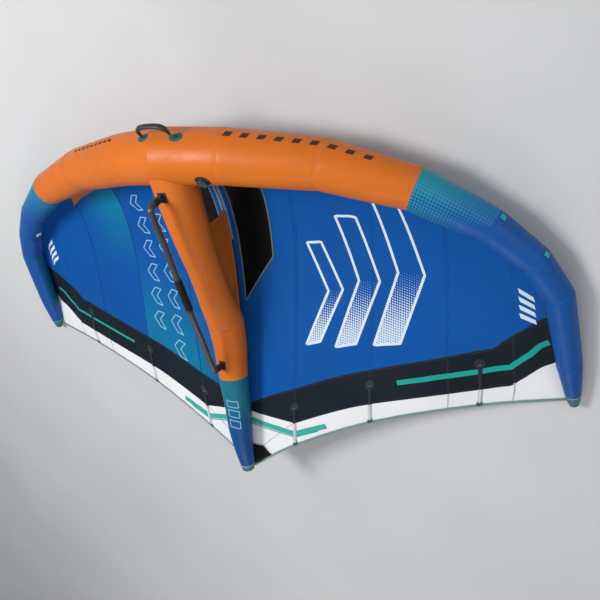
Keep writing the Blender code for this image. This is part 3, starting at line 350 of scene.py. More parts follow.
def rounded_path(points, radius, steps=10):
    """A polyline whose corners are turned into arcs."""
    path = [points[0]]
    for before, here, after in zip(points, points[1:], points[2:]):
        one, two = unit(before - here), unit(after - here)
        turn = np.pi - np.arccos(np.clip(one @ two, -1, 1))
        room = min(np.linalg.norm(before - here), np.linalg.norm(after - here)) / 2
        reach = min(radius * np.tan(turn / 2), room)
        start, end = here + one * reach, here + two * reach
        for t in np.linspace(0, 1, steps + 1):
            path.append(start * (1 - t) ** 2 + here * 2 * t * (1 - t) + end * t**2)
    path.append(points[-1])
    return np.array(path)


def part_of(path, start=0.0, end=0.0, step=0.006):
    """Even points on a path. A negative start, or an end not above 0, counts from the far end."""
    along = travelled(path)
    start = along[-1] + start if start < 0 else start
    end = along[-1] + end if end <= 0 else end
    return polyline(path, along, np.linspace(start, end, max(3, int((end - start) / step))))


# Shape of the leading edge


LE_CENTRES = LE_SEAM_SHARES[:, :3] * (HALF_SPAN, TIP_SWEEP, TIP_RISE)
LE_RADII = LE_SEAM_SHARES[:, 3] * CENTRE_RADIUS
LE_LENGTHS = travelled(LE_CENTRES)
LE_PLACES = np.arange(len(LE_RADII))
TURN = circle(TUBE_SIDES)


def le_mitres():
    """Direction, aft and up axes at each seam of the left half."""
    steps = unit(np.diff(LE_CENTRES, axis=0))
    along = np.array([ACROSS, *(unit(a + b) for a, b in zip(steps, steps[1:])), steps[-1]])
    up = unit(np.array([0.0, 0.0, 1.0]) - along * along[:, 2:3])
    return along, np.cross(up, along), up


LE_ALONG, LE_AFT, LE_UP = le_mitres()


def le_point(place, angle, lift=0.0):
    """A point on the tube. The place may lie between seams."""
    place, angle = np.broadcast_arrays(np.asarray(place, float), np.asarray(angle, float))
    side = np.where(place < 0, -1.0, 1.0)
    place = np.abs(place)
    i = np.clip(np.floor(place).astype(int), 0, len(LE_RADII) - 2)
    t = place - i
    rings = [LE_CENTRES[k] + around(LE_AFT[k], LE_UP[k], angle) * LE_RADII[k][..., None] for k in (i, i + 1)]
    out = unit(around(lerp(LE_AFT[i], LE_AFT[i + 1], t), lerp(LE_UP[i], LE_UP[i + 1], t), angle))
    return mirrored(lerp(*rings, t) + out * np.asarray(lift)[..., None], side)


def le_place_at(metres):
    return np.sign(metres) * np.interp(np.abs(metres), LE_LENGTHS, LE_PLACES)


def le_metres(place):
    return np.sign(place) * np.interp(np.abs(place), LE_PLACES, LE_LENGTHS)


def le_radius(place):
    return np.interp(np.abs(place), LE_PLACES, LE_RADII)


def centre_place(x):
    return x / LE_CENTRES[1, 0]


# Shape of the canopy


ATTACH = le_point(LE_PLACES, np.radians(ATTACH_ANGLE), ATTACH_LIFT)
SEAM_FRONTS = ATTACH[: LAST_RIB + 1, 0] / ATTACH[LAST_RIB, 0]


def front_line(u):
    return polyline(ATTACH[: LAST_RIB + 1], SEAM_FRONTS, np.interp(u, RIB_SHARES, RIB_FRONT_SHARES))


def rear_line(u):
    row = hermite(TE_SHARES, u)
    aft, up = row[..., 1] * CENTRE_CHORD, row[..., 2] * TE_RISE - CENTRE_DROOP
    return np.stack([np.asarray(u) * TE_HALF_SPAN, aft, up], axis=-1)


TIP_POINTS = np.vstack([ATTACH[LAST_RIB:], rear_line(1.0)])
TIP_SEAMS = travelled(TIP_POINTS) / travelled(TIP_POINTS)[-1]


def chord(u):
    return np.linalg.norm(rear_line(u) - front_line(u), axis=-1)


def section(v):
    peak = NOSE_SHARE / (NOSE_SHARE + TAIL_SHARE)
    top = peak**NOSE_SHARE * (1 - peak) ** TAIL_SHARE
    v = np.clip(v, 0.0, 1.0)
    return v**NOSE_SHARE * (1 - v) ** TAIL_SHARE / top


def wrinkles(u, v):
    """Small folds that run aft from the sewn front edge and fade out."""
    across = u * HALF_SPAN
    behind = v * chord(u)
    waves = np.sin(across * 71 + 1.3) + 0.6 * np.sin(across * 117 + 4.0) + 0.5 * np.sin(across * 43)
    fade = np.exp(-behind / WRINKLE_REACH) * (1 - np.exp(-behind / (WRINKLE_REACH / 6)))
    rear = np.exp(-(chord(u) - behind) / (WRINKLE_REACH / 2)) * 0.35
    return WRINKLE * waves * (fade + rear) * np.clip(u * 30, 0, 1) * np.clip((1 - u) * 20, 0, 1)


def canopy(u, v, lift=0.0, side=1):
    """Points of the cloth, or above it."""
    u, v = np.broadcast_arrays(np.asarray(u, float), np.asarray(v, float))
    edge = polyline(TIP_POINTS, TIP_SEAMS, v) - lerp(front_line(1.0), rear_line(1.0), v)
    point = lerp(front_line(u), rear_line(u), v) + edge * (u**3)[..., None]
    point[..., 2] += CANOPY_RISE * chord(u) / chord(0.0) * (1 - u**4) * section(v) + wrinkles(u, v)
    if np.any(lift):
        point = point + canopy_normal(u, v) * np.asarray(lift, float)[..., None]
    return mirrored(point, side)


def canopy_normal(u, v):
    step = 1e-3
    u, v = np.broadcast_arrays(np.asarray(u, float), np.asarray(v, float))
    front, rear = np.maximum(v - step, step), np.minimum(np.maximum(v + step, 3 * step), 1)
    v = np.maximum(v, step)
    along = canopy(np.minimum(u + step, 1), v) - canopy(np.maximum(u - step, 0), v)
    normal = np.cross(along, canopy(u, rear) - canopy(u, front))
    normal[..., 0] = np.where(u < step, 0.0, normal[..., 0])
    return unit(normal)


def front_edge(u):
    return np.zeros_like(u)


def window_front(u):
    return WINDOW_FRONT * blue_edge(u)


def window_rear(u):
    return table(WINDOW_REAR, u) * blue_edge(u)


def blue_edge(u):
    return table(BLUE_EDGE, u)


def black_edge(u):
    return table(BLACK_EDGE, u)


def corner_edge(u):
    return np.where(u < CORNER_EDGE[-1][0], table(CORNER_EDGE, u), hem_front(u))


def hem_front(u):
    return 1 - HEM_WIDTH / chord(u)


def rear_edge(u):
    return np.ones_like(u)


# Shape of the strut and the web


STRUT_Y = STRUT_SHARES[:, 0] * STRUT_END
STRUT_Z = STRUT_SHARES[:, 1] * STRUT_RISE
STRUT_R = STRUT_SHARES[:, 2] * STRUT_RADIUS
STRUT_SEAMS = np.append(STRUT_Y[[STRUT_KINK, STRUT_CAP_SEAM, STRUT_FRONT_SEAM]], STRUT_COLOUR_Y)


def strut_curve(y, values):
    """A smooth curve through the strut's seams, with a corner at its kink."""
    y = np.asarray(y, float)
    parts = []
    for span in (slice(0, STRUT_KINK + 1), slice(STRUT_KINK, None)):
        parts.append(hermite(pair(STRUT_Y[span], values[span]), y)[..., 1])
    return np.where(y < STRUT_Y[STRUT_KINK], *parts)


def strut_point(y, angle, lift=0.0):
    """A point on the strut's tube. Angle 0 is the flyer's left and 90 degrees is up."""
    y, angle = np.broadcast_arrays(np.asarray(y, float), np.asarray(angle, float))
    step = 2e-3
    rise = (strut_curve(y + step, STRUT_Z) - strut_curve(y - step, STRUT_Z)) / (2 * step)
    rise = np.where(y < STRUT_Y[1], 0.0, rise)
    scale = 1 / np.sqrt(1 + rise**2)
    reach = strut_curve(y, STRUT_R) + lift
    up = reach * np.sin(angle)
    aft, height = y - up * rise * scale, strut_curve(y, STRUT_Z) + up * scale
    return np.stack([reach * np.cos(angle), aft, height], axis=-1)


KEEL_V = np.linspace(0, 1, 400)
KEEL = canopy(0.0, KEEL_V)


def web_top(y):
    return np.interp(y, KEEL[:, 1], KEEL[:, 2]) - 0.0022


def web_bottom(y):
    return strut_curve(y, STRUT_Z) + strut_curve(y, STRUT_R) * 0.998


# Materials


class Surface:
    """Short calls that build the nodes of one material."""

    def __init__(self, name, specular=0.5, roughness=0.5, sheen=0.0, coat=0.0, alpha=1.0):
        self.material = bpy.data.materials.new(name)
        self.material.use_nodes = True
        self.tree = self.material.node_tree
        self.shader = self.tree.nodes["Principled BSDF"]
        settings = {
            "Roughness": roughness, "Sheen Weight": sheen, "Sheen Roughness": 0.4, "Coat Weight": coat,
            "Coat Roughness": 0.25, "Specular IOR Level": specular, "Alpha": alpha,
        }
        for socket, value in settings.items():
            self.shader.inputs[socket].default_value = value

    def plug(self, socket, value):
        if isinstance(value, bpy.types.NodeSocket):
            self.tree.links.new(value, socket)
        elif isinstance(value, tuple) and len(value) == 3 and socket.type == "RGBA":
            socket.default_value = (*value, 1.0)
        else:
            socket.default_value = value

    def node(self, kind, inputs=None, **settings):
        made = self.tree.nodes.new(kind)
        for key, value in settings.items():
            setattr(made, key, value)
        for key, value in (inputs or {}).items():
            self.plug(made.inputs[key], value)
        return made

    def math(self, operation, a, b=0.0, c=0.0):
        return self.node("ShaderNodeMath", {0: a, 1: b, 2: c}, operation=operation).outputs[0]

    def times(self, a, b):
        return self.math("MULTIPLY", a, b)

    def plus(self, a, b):
        return self.math("ADD", a, b)

    def minus(self, a, b):
        return self.math("SUBTRACT", a, b)

    def scaled(self, value, factor, base):
        return self.math("MULTIPLY_ADD", value, factor, base)

    def wave(self, value, height):
        return self.math("PINGPONG", value, height)

    def uv(self, name="cloth"):
        """The two numbers of a UV map."""
        uv = self.node("ShaderNodeUVMap", uv_map=name).outputs[0]
        return self.node("ShaderNodeSeparateXYZ", {0: uv}).outputs[:2]

    def mix(self, factor, a, b):
        return self.node("ShaderNodeMix", {0: factor, 6: a, 7: b}, data_type="RGBA").outputs[2]

    def step(self, value, low, high, start=0.0, end=1.0):
        """Goes smoothly from start to end while value goes from low to high."""
        inputs = {0: value, 1: low, 2: high, 3: start, 4: end}
        return self.node("ShaderNodeMapRange", inputs, interpolation_type="SMOOTHSTEP").outputs[0]

    def noise(self, scale, detail=3.0, roughness=0.55, stretch=(1.0, 1.0, 1.0)):
        place = self.node("ShaderNodeTexCoord").outputs["Object"]
        place = self.node("ShaderNodeMapping", {0: place, 3: stretch}).outputs[0]
        inputs = {"Vector": place, "Scale": scale, "Detail": detail, "Roughness": roughness}
        return self.node("ShaderNodeTexNoise", inputs).outputs[0]

    def lines(self, value, spacing, width):
        """1 on thin lines at an even spacing, and 0 between them."""
        return self.step(self.wave(value, spacing / 2), width * 0.35, width * 0.65, 1.0, 0.0)

    def dots(self, along, across, spacing, cover):
        """A grid of round dots that grow with cover, from 0 to 1."""
        x, y = self.wave(along, spacing / 2), self.wave(across, spacing / 2)
        reach = self.math("SQRT", self.plus(self.times(x, x), self.times(y, y)))
        size = self.times(self.math("SQRT", cover), spacing * 0.68)
        return self.step(self.minus(size, reach), -spacing * 0.04, spacing * 0.06)

    def shaded(self, colour, amount, scale=2.2):
        """A colour with slow changes of tone, as on handled cloth."""
        tone = self.step(self.noise(scale, 4.0), 0.30, 0.70)
        if not isinstance(colour, tuple):
            return self.mix(self.times(self.minus(1.0, tone), amount), colour, (0.0, 0.0, 0.0))
        dark = tuple(c * (1 - amount) for c in colour)
        light = tuple(min(c * (1 + amount * 0.5), 1.0) for c in colour)
        return self.mix(tone, dark, light)

    def ripstop(self, colour, amount=0.12):
        """The fine square grid of thicker threads in canopy cloth: (colour, height)."""
        along, across = self.uv()
        threads = self.math("MAXIMUM", self.lines(along, 0.006, 0.0011), self.lines(across, 0.006, 0.0011))
        lighter = self.mix(0.5, colour, (0.10, 0.12, 0.15))
        tint = self.mix(self.times(threads, amount), colour, lighter)
        return tint, self.scaled(threads, 0.10, self.noise(5.0, 1.0, 0.4))

    def finish(self, colour, height, depth, strength, roughness=None):
        """The material, whose bumps are height times depth."""
        self.plug(self.shader.inputs["Base Color"], colour)
        if roughness is not None:
            self.plug(self.shader.inputs["Roughness"], roughness)
        bump = self.node("ShaderNodeBump", {"Height": height, "Strength": strength, "Distance": depth})
        self.plug(self.shader.inputs["Normal"], bump.outputs[0])
        return self.material


def canopy_cloth(name, colour, roughness=0.52, amount=0.08, painted=None):
    surface = Surface(name, 0.07)
    base = painted(surface, colour) if painted else colour
    tint, height = surface.ripstop(surface.shaded(base, amount))
    rough = surface.step(surface.noise(14.0), 0.3, 0.7, roughness - 0.05, roughness + 0.07)
    return surface.finish(tint, height, 0.0012, 0.35, rough)


def tube_cloth(name, colour, painted=None, roughness=0.42):
    """Coated woven polyester of the inflated tubes, with its twill lines."""
    surface = Surface(name, 0.24)
    base = surface.shaded(painted(surface, colour) if painted else colour, 0.07, 3.0)
    along, across = surface.uv()
    weave = surface.times(surface.wave(surface.plus(along, across), 0.0009), 900.0)
    height = surface.scaled(weave, 0.05, surface.noise(4.0, 1.5))
    rough = surface.step(surface.noise(20.0), 0.3, 0.7, roughness - 0.05, roughness + 0.08)
    return surface.finish(base, height, 0.0012, 0.30, rough)


def seam_tape(name, colour, thread, width):
    """A tape with one row of stitches near each edge."""
    pitch = 0.0045
    surface = Surface(name, 0.09)
    along, across = surface.uv()
    edge = surface.math("MINIMUM", across, surface.minus(width, across))
    off = surface.math("ABSOLUTE", surface.minus(edge, width * 0.22))
    row = surface.step(off, 0.0004, 0.0009, 1.0, 0.0)
    dash = surface.step(surface.wave(along, pitch / 2), pitch * 0.08, pitch * 0.16)
    stitch = surface.times(row, dash)
    tint = surface.mix(stitch, surface.shaded(colour, 0.12, 12.0), thread)
    return surface.finish(tint, surface.scaled(stitch, 0.7, surface.noise(300.0, 2.0)), 0.0008, 0.5, 0.55)


def webbing(name, colour):
    """Woven strap with ribs across its length, and a painted highlight on the raised weave."""
    pitch, cord_pitch = 0.0022, 0.0032
    surface = Surface(name, 0.25, 0.72, sheen=0.08)
    along, across = surface.uv()
    rib = surface.times(surface.wave(along, pitch / 2), 2 / pitch)
    cord = surface.times(surface.wave(across, cord_pitch / 2), 2 / cord_pitch)
    weave = surface.times(rib, surface.scaled(cord, 0.5, 0.5))
    # Painted highlight: the raised ribs and cords are coloured lighter than the strap's own colour.
    light = tuple(min(1.0, c * 2.6 + 0.006) for c in colour)
    return surface.finish(surface.mix(weave, colour, light), weave, 0.0006, 0.7)


def moulded(name, colour, roughness=0.42):
    surface = Surface(name)
    grain = surface.noise(900.0, 2.0)
    worn = surface.step(surface.noise(30.0, 5.0), 0.62, 0.80)
    tint = surface.mix(surface.times(worn, 0.25), colour, tuple(c + 0.03 for c in colour))
    rough = surface.step(grain, 0.3, 0.7, roughness - 0.06, roughness + 0.08)
    return surface.finish(tint, grain, 0.0002, 0.4, rough)


def wound_tube(name):
    """Matt lacquered tube whose windings cross on a slant."""
    surface = Surface(name, coat=0.30)
    along, across = surface.uv()
    one, two = (surface.wave(slant(along, across), 0.0035) for slant in (surface.plus, surface.minus))
    weave = surface.math("GREATER_THAN", one, two)
    tint = surface.mix(weave, (0.030, 0.029, 0.027), (0.050, 0.048, 0.044))
    scuff = surface.step(surface.noise(24.0, 6.0), 0.60, 0.78)
    tint = surface.mix(surface.times(scuff, 0.30), tint, (0.10, 0.098, 0.092))
    return surface.finish(tint, weave, 0.0001, 0.3, surface.scaled(scuff, 0.20, 0.34))


def foam_grip(name):
    """Black foam with a grid of shallow dimples, each one coloured darker as painted shade."""
    surface = Surface(name, 0.2, 0.80, sheen=0.05)
    dimple_and_painted_shade = surface.dots(*surface.uv(), 0.0075, 0.22)
    # Painted shade: the dimples are coloured darker than the foam round them, and the same mask also sinks
    # them as bumps.
    tint = surface.mix(dimple_and_painted_shade, (0.012, 0.012, 0.013), (0.004, 0.004, 0.004))
    height = surface.scaled(dimple_and_painted_shade, -1.0, surface.times(surface.noise(700.0, 3.0), 0.25))
    return surface.finish(tint, height, 0.0010, 0.8)


def dark_film(name):
    """Smoked clear film of the windows, a little scuffed."""
    surface = Surface(name, 0.10, 0.30, alpha=0.97)
    scuff = surface.step(surface.noise(7.0, 6.0, 0.65), 0.52, 0.75)
    tint = surface.mix(scuff, (0.0065, 0.0065, 0.007), (0.014, 0.014, 0.015))
    folds = surface.noise(5.0, 3.0, stretch=(1.0, 0.4, 1.0))
    return surface.finish(tint, folds, 0.004, 0.35, surface.scaled(scuff, 0.14, 0.16))


def neoprene(name):
    """Smooth black padding with a fine knit face."""
    pitch = 0.0016
    surface = Surface(name, 0.5, 0.50, sheen=0.06)
    along, across = surface.uv()
    knit = surface.times(surface.wave(along, pitch / 2), surface.wave(across, pitch / 2))
    height = surface.scaled(surface.times(knit, 1500000.0), 0.3, surface.noise(60.0))
    tone = surface.step(surface.noise(40.0, 4.0), 0.3, 0.7)
    tint = surface.mix(tone, (0.012, 0.012, 0.013), (0.028, 0.029, 0.031))
    return surface.finish(tint, height, 0.0012, 0.4)


def mottled(name, roughness, specular, scale, colours, grain, depth, strength):
    """A plain surface between two tones."""
    surface = Surface(name, specular, roughness)
    tint = surface.mix(surface.step(surface.noise(scale, 4.0), 0.3, 0.7), *colours)
    return surface.finish(tint, surface.noise(grain), depth, strength)


def halftone_fill(name, light, dark):
    """A fill whose light dots shrink along the first number of its share map."""
    surface = Surface(name, 0.07)
    cover = surface.step(surface.uv("share")[0], 0.0, 1.0, 0.02, 0.60)
    dots = surface.dots(*surface.uv(), 0.0125, cover)
    tint, height = surface.ripstop(surface.mix(dots, dark, light), 0.04)
    return surface.finish(tint, height, 0.0010, 0.3, 0.55)


def right_half_print(surface, colour):
    """The two teal fades on the flyer's right half, which meet at the second rib."""
    u, v = surface.uv("share")
    outer = surface.math("GREATER_THAN", u, RIB_SHARES[2])
    front = surface.step(v, 0.05, 0.52, 0.85, 0.0)
    front = surface.times(front, surface.step(u, 0.46, 0.70, 1.0, 0.0))
    rear = surface.step(v, 0.36, 0.80, 0.0, 0.62)
    rear = surface.times(rear, surface.step(u, 0.06, 0.20))
    share = surface.plus(surface.times(outer, front), surface.times(surface.minus(1.0, outer), rear))
    return surface.mix(share, colour, (0.004, 0.215, 0.330))


def dotted_print(surface, colour):
    """Dots that fade the teal of the leading edge into its blue."""
    place, turn = surface.uv("share")
    low = surface.math("ABSOLUTE", surface.minus(turn, 0.43))
    ring = surface.step(low, 0.05, 0.33, 1.0, 0.0)
    cover = surface.scaled(ring, 0.75, surface.step(place, 3.0, 4.3, 0.35, -0.10))
    cover = surface.math("MAXIMUM", surface.math("MINIMUM", cover, 1.0), 0.0)
    dots = surface.dots(*surface.uv(), 0.0135, cover)
    fade = surface.mix(surface.step(place, 3.0, 4.0), (0.010, 0.260, 0.330), (0.010, 0.150, 0.380))
    return surface.mix(dots, colour, fade)


def strut_print(surface, colour):
    return surface.mix(surface.step(surface.uv("share")[0], 1.29, 1.60), (0.008, 0.150, 0.215), colour)


MATERIALS = {
    "orange": tube_cloth("orange_tube_cloth", ORANGE),
    "le_blue": tube_cloth("blue_tube_cloth", LE_BLUE),
    "pattern": tube_cloth("dotted_tube_cloth", LE_BLUE, dotted_print),
    "strut_rear": tube_cloth("fading_tube_cloth", (0.002, 0.060, 0.240), strut_print),
    "cap": tube_cloth("cap_cloth", CAP_GREY, roughness=0.36),
    "web": canopy_cloth("web_cloth", (0.470, 0.118, 0.016), 0.55),
    "blue": canopy_cloth("blue_canopy_cloth", BLUE),
    "blue_print": canopy_cloth("printed_canopy_cloth", BLUE, painted=right_half_print),
    "black": canopy_cloth("black_canopy_cloth", NAVY_BLACK, 0.50, 0.20),
    "white": canopy_cloth("white_canopy_cloth", WHITE, 0.60, 0.05),
    "corner": canopy_cloth("corner_cloth", CORNER_BLACK, 0.50, 0.25),
    "teal": canopy_cloth("teal_cloth", BRIGHT_TEAL, 0.55, 0.06),
    "pale_teal": canopy_cloth("pale_teal_cloth", (0.045, 0.380, 0.330), 0.55, 0.06),
    "dull_teal": canopy_cloth("dull_teal_cloth", (0.003, 0.125, 0.150), 0.45, 0.06),
    "mark": canopy_cloth("white_print", (0.66, 0.74, 0.82), 0.50, 0.04),
    "thin_mark": canopy_cloth("pale_blue_print", (0.22, 0.45, 0.62), 0.50, 0.04),
    "dark_mark": canopy_cloth("dark_print", (0.060, 0.030, 0.022), 0.50, 0.10),
    "patch": canopy_cloth("patch_cloth", (0.030, 0.034, 0.040), 0.62, 0.20),
    "tag": canopy_cloth("white_tag", (0.70, 0.71, 0.72), 0.65, 0.04),
    "halftone": halftone_fill("white_dots", (0.60, 0.70, 0.80), BLUE),
    "film": dark_film("window_film"),
    "hem": seam_tape("hem_tape", HEM_GREY, (0.30, 0.36, 0.35), HEM_WIDTH),
    "blue_tape": seam_tape("blue_seam_tape", (0.001, 0.074, 0.305), (0.001, 0.050, 0.215), 0.008),
    "rib_tape": seam_tape("rib_seam_tape", (0.003, 0.086, 0.345), (0.003, 0.078, 0.315), 0.006),
    "frame_tape": seam_tape("window_frame_tape", (0.085, 0.125, 0.145), (0.30, 0.36, 0.38), 0.008),
    "black_tape": seam_tape("black_seam_tape", (0.011, 0.015, 0.022), (0.05, 0.06, 0.07), 0.012),
    "white_tape": seam_tape("white_seam_tape", (0.52, 0.53, 0.54), (0.30, 0.32, 0.34), 0.010),
    "grey_tape": seam_tape("grey_seam_tape", (0.20, 0.27, 0.30), (0.42, 0.48, 0.50), 0.010),
    "orange_tape": seam_tape("orange_seam_tape", (0.56, 0.128, 0.016), (0.78, 0.28, 0.07), 0.012),
    "le_blue_tape": seam_tape("tube_seam_tape", (0.004, 0.070, 0.280), (0.05, 0.22, 0.48), 0.012),
    "pocket_black": seam_tape("black_pocket_tape", (0.022, 0.025, 0.030), (0.07, 0.08, 0.09), POCKET_WIDTH),
    "pocket_white": seam_tape("white_pocket_tape", (0.60, 0.61, 0.62), (0.32, 0.34, 0.36), POCKET_WIDTH),
    "webbing": webbing("black_webbing", WEBBING),
    "teal_webbing": webbing("teal_webbing", (0.006, 0.062, 0.070)),
    "neoprene": neoprene("black_neoprene"),
    "boom": wound_tube("wound_tube"),
    "grip": foam_grip("foam_grip"),
    "black_plastic": moulded("black_plastic", (0.010, 0.010, 0.011)),
    "teal_plastic": moulded("teal_plastic", (0.008, 0.060, 0.072), 0.36),
    "rod": moulded("batten_rod", (0.30, 0.31, 0.29), 0.38),
    "bladder": mottled(
        "bladder_film", 0.30, 0.5, 8.0, ((0.42, 0.45, 0.44), (0.52, 0.55, 0.53)), 40.0, 0.001, 0.3
    ),
    "floor": mottled(
        "pale_floor", 0.75, 0.2, 0.8, ((0.55, 0.55, 0.555), (0.59, 0.59, 0.59)), 60.0, 0.0004, 0.15
    ),
}


# Meshes


def add_mesh(name, points, faces, flat, material, share=None, body="wing", node=None, thick=0.0, fill=None):
    """A piece that rides on a body. flat is its map in metres, and node the solid it stands for."""
    mesh = bpy.data.meshes.new(name)
    mesh.from_pydata(lay(points.reshape(-1, 3)).tolist(), [], faces)
    corner = np.empty(len(mesh.loops), np.int32)
    mesh.loops.foreach_get("vertex_index", corner)
    for label, values in (("cloth", flat), ("share", share)):
        if values is not None:
            layer = mesh.uv_layers.new(name=label)
            layer.data.foreach_set("uv", values.reshape(-1, 2)[corner].ravel())
    mesh.shade_smooth()
    mesh.materials.append(MATERIALS[material])
    obj = bpy.data.objects.new(name, mesh)
    bpy.context.scene.collection.objects.link(obj)
    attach(obj, body)
    if node:
        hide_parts(node)
    if thick:
        modifier = obj.modifiers.new("cloth", "SOLIDIFY")
        modifier.thickness = thick
        modifier.offset = 0.0
        modifier.use_even_offset = False
    return obj


def add_grid(name, points, flat, material, skip=None, ends=False, **more):
    """A grid of points as a piece. skip leaves cells out, and ends closes a tube."""
    rows, columns = points.shape[:2]
    faces = []
    for i in range(rows - 1):
        for j in range(columns - 1):
            if skip is None or not skip[i, j]:
                here, ahead = i * columns + j, (i + 1) * columns + j
                faces.append((here, ahead, ahead + 1, here + 1))
    if ends:
        last = (rows - 1) * columns
        faces += [tuple(range(columns - 1)), tuple(range(last, last + columns - 1))[::-1]]
    return add_mesh(name, points, faces, flat, material, **more)


def ribbon(name, line, normals, width, material, thick=0.0, closed=False, body="wing"):
    """A flat strip along a line. Its map runs in metres along and across it."""
    ahead = np.roll(line, -1, axis=0) - np.roll(line, 1, axis=0)
    if not closed:
        ahead[0] = line[1] - line[0]
        ahead[-1] = line[-1] - line[-2]
    across = unit(np.cross(normals, unit(ahead)))
    offsets = np.linspace(-0.5, 0.5, 5) * width
    points = line[:, None] + across[:, None] * offsets[:, None]
    if closed:
        line, points = np.vstack([line, line[:1]]), np.vstack([points, points[:1]])
    flat = pair(travelled(line)[:, None], offsets + width / 2)
    add_grid(name, points, flat, material, thick=thick, body=body)


def tube(name, path, across, radius, material, sides, **more):
    """A round bar along a path. across is one constant side direction."""
    ahead = unit(np.gradient(path, axis=0))
    side = unit(across - ahead * np.sum(across * ahead, axis=1, keepdims=True))
    radius = np.broadcast_to(radius, (len(path),))
    turn = circle(sides)
    ring = around(side[:, None], np.cross(side, ahead)[:, None], turn)
    points = path[:, None] + ring * radius[:, None, None]
    flat = pair(travelled(path)[:, None], turn * radius.mean())
    add_grid(name, points, flat, material, ends=True, **more)


def add_floor():
    reach, depth = 14.0, -0.0006
    mesh = bpy.data.meshes.new("floor")
    corners = [(x * reach, y * reach, depth) for x, y in ((-1, -1), (1, -1), (1, 1), (-1, 1))]
    mesh.from_pydata(corners, [], [(0, 1, 2, 3)])
    mesh.materials.append(MATERIALS["floor"])
    floor = bpy.data.objects.new("floor", mesh)
    bpy.context.scene.collection.objects.link(floor)


# Leading edge


def seam_distances(length):
    """Distances along one panel of the tube, closer together near its seams."""
    near = [d for d in SEAM_STEPS if d < length * 0.45]
    count = max(2, int((length - 2 * near[-1]) / PANEL_STEP) + 2)
    inner = np.linspace(near[-1], length - near[-1], count)
    return np.concatenate([near[:-1], inner, [length - d for d in near[:-1][::-1]]])


def seam_folds(distance, phase, amount):
    """The stitches draw the cloth in at a seam, and small folds run out from it."""
    pinch = SEAM_PINCH * np.exp(-((distance / SEAM_PINCH_REACH) ** 2))
    fade = np.exp(-distance / PUCKER_REACH) * (1 - np.exp(-distance / PUCKER_START))
    return PUCKER * np.sin(phase) * fade * amount - pinch


def le_relief(distance, place, angle):
    """How far the cloth stands in or out near a seam."""
    bulge = TUBE_BULGE * (1 - np.exp(-distance / TUBE_BULGE_REACH))
    inside = 0.35 + 0.65 * np.clip(np.cos(angle), 0, 1)
    phase = angle * PUCKER_COUNT + 2.1 * np.sin(3 * angle) + place
    return bulge + seam_folds(distance, phase, inside)


def add_sleeve(name, first, last, material, node):
    """One colour of the tube, from one seam number to another."""
    places, distances = [], []
    whole = first * last < 0
    for k in range(0 if whole else min(abs(first), abs(last)), max(abs(first), abs(last))):
        length = LE_LENGTHS[k + 1] - LE_LENGTHS[k]
        steps = seam_distances(length)[1 if places else 0 :]
        places += list(k + steps / length)
        distances += list(np.minimum(steps, length - steps))
    places, distances = np.array(places), np.array(distances)
    if whole:
        places = np.concatenate([-places[:0:-1], places])
        distances = np.concatenate([distances[:0:-1], distances])
        distances = np.where(np.abs(places) < 0.5, np.abs(places) * 0.2 + 0.1, distances)
    elif first < 0:
        places, distances = -places[::-1], distances[::-1]
    relief = le_relief(distances[:, None], np.abs(places)[:, None], TURN)
    points = le_point(places[:, None], TURN, relief)
    points[:, -1] = points[:, 0]
    flat = pair(le_metres(places)[:, None], TURN * le_radius(places).mean())
    share = pair(np.abs(places)[:, None], TURN / (2 * np.pi))
    add_grid(name, points, flat, material, share=share, node=node, fill=1.0)


def band_profile(width, lift):
    """Offsets across a tape, and its height there."""
    offsets = np.linspace(-0.5, 0.5, 7)[:, None] * width
    return offsets, lift * (1 - (np.abs(offsets) / (width / 2)) ** 4)


def le_band(name, place, material, width=0.012):
    """A sewn tape round the tube at a seam, on both sides of the wing."""
    offsets, profile = band_profile(width, BAND_LIFT)
    places = le_place_at(le_metres(place) + offsets)
    relief = le_relief(np.abs(offsets), place, TURN) + profile
    flat = pair(TURN * CENTRE_RADIUS, offsets + width / 2)
    for side, label in SIDES:
        add_grid(f"{label}_{name}", le_point(side * places, TURN, relief), flat, material)


def build_leading_edge():
    add_sleeve("orange_centre_sleeve", -1, 1, "orange", "le_centre_sleeve")
    parts = (
        ("inner_sleeve", 1, 3, "orange"),
        ("pattern_sleeve", 3, 4, "pattern"),
        ("outer_sleeve", 4, 6, "le_blue"),
        ("tip_sleeve", 6, 8, "le_blue"),
    )
    for side, label in SIDES:
        for name, first, last, material in parts:
            add_sleeve(f"{label}_cloth_{name}", side * first, side * last, material, f"{label}_le_{name}")
        add_tip_cap(side, label)
        if side > 0:
            le_band("cap_seam", LE_PLACES[-1] - 0.02, "grey_tape", 0.010)
    for number in (1, 2, 3):
        le_band(f"orange_seam_{number}", number, "orange_tape")
    for number in (1, 2, 3, 4):
        le_band(f"blue_seam_{number}", number + 3, "le_blue_tape")


def add_tip_cap(side, label):
    """The rounded end of the tube, sewn from coated cloth."""
    t = np.linspace(0, 1, 25)[:, None]
    dome = np.sqrt(1 - np.clip((t - 0.80) / 0.20, 0, 1) ** 2.2)
    size = LE_RADII[-1] * np.interp(t, (0.0, 0.45, 0.80), (1.0, 0.86, 0.66)) * dome
    ring = size[..., None] * around(LE_AFT[-1], LE_UP[-1], TURN)
    points = mirrored(LE_CENTRES[-1] + LE_ALONG[-1] * (t[..., None] * TIP_CAP_LENGTH) + ring, side)
    flat = pair(t * TIP_CAP_LENGTH, TURN * LE_RADII[-1])
    add_grid(f"{label}_cloth_tip_cap", points, flat, "cap", share=flat, node=f"{label}_tip_cap", fill=1.0)


# Canopy


def fine_columns(start, end, step=0.010, extra=()):
    keys = [start] + [x for x in sorted(set(extra)) if start < x < end] + [end]
    values = []
    for a, b in zip(keys, keys[1:]):
        values += list(np.linspace(a, b, max(2, int(np.ceil((b - a) / step)) + 1))[:-1])
    return np.array(values + [end])


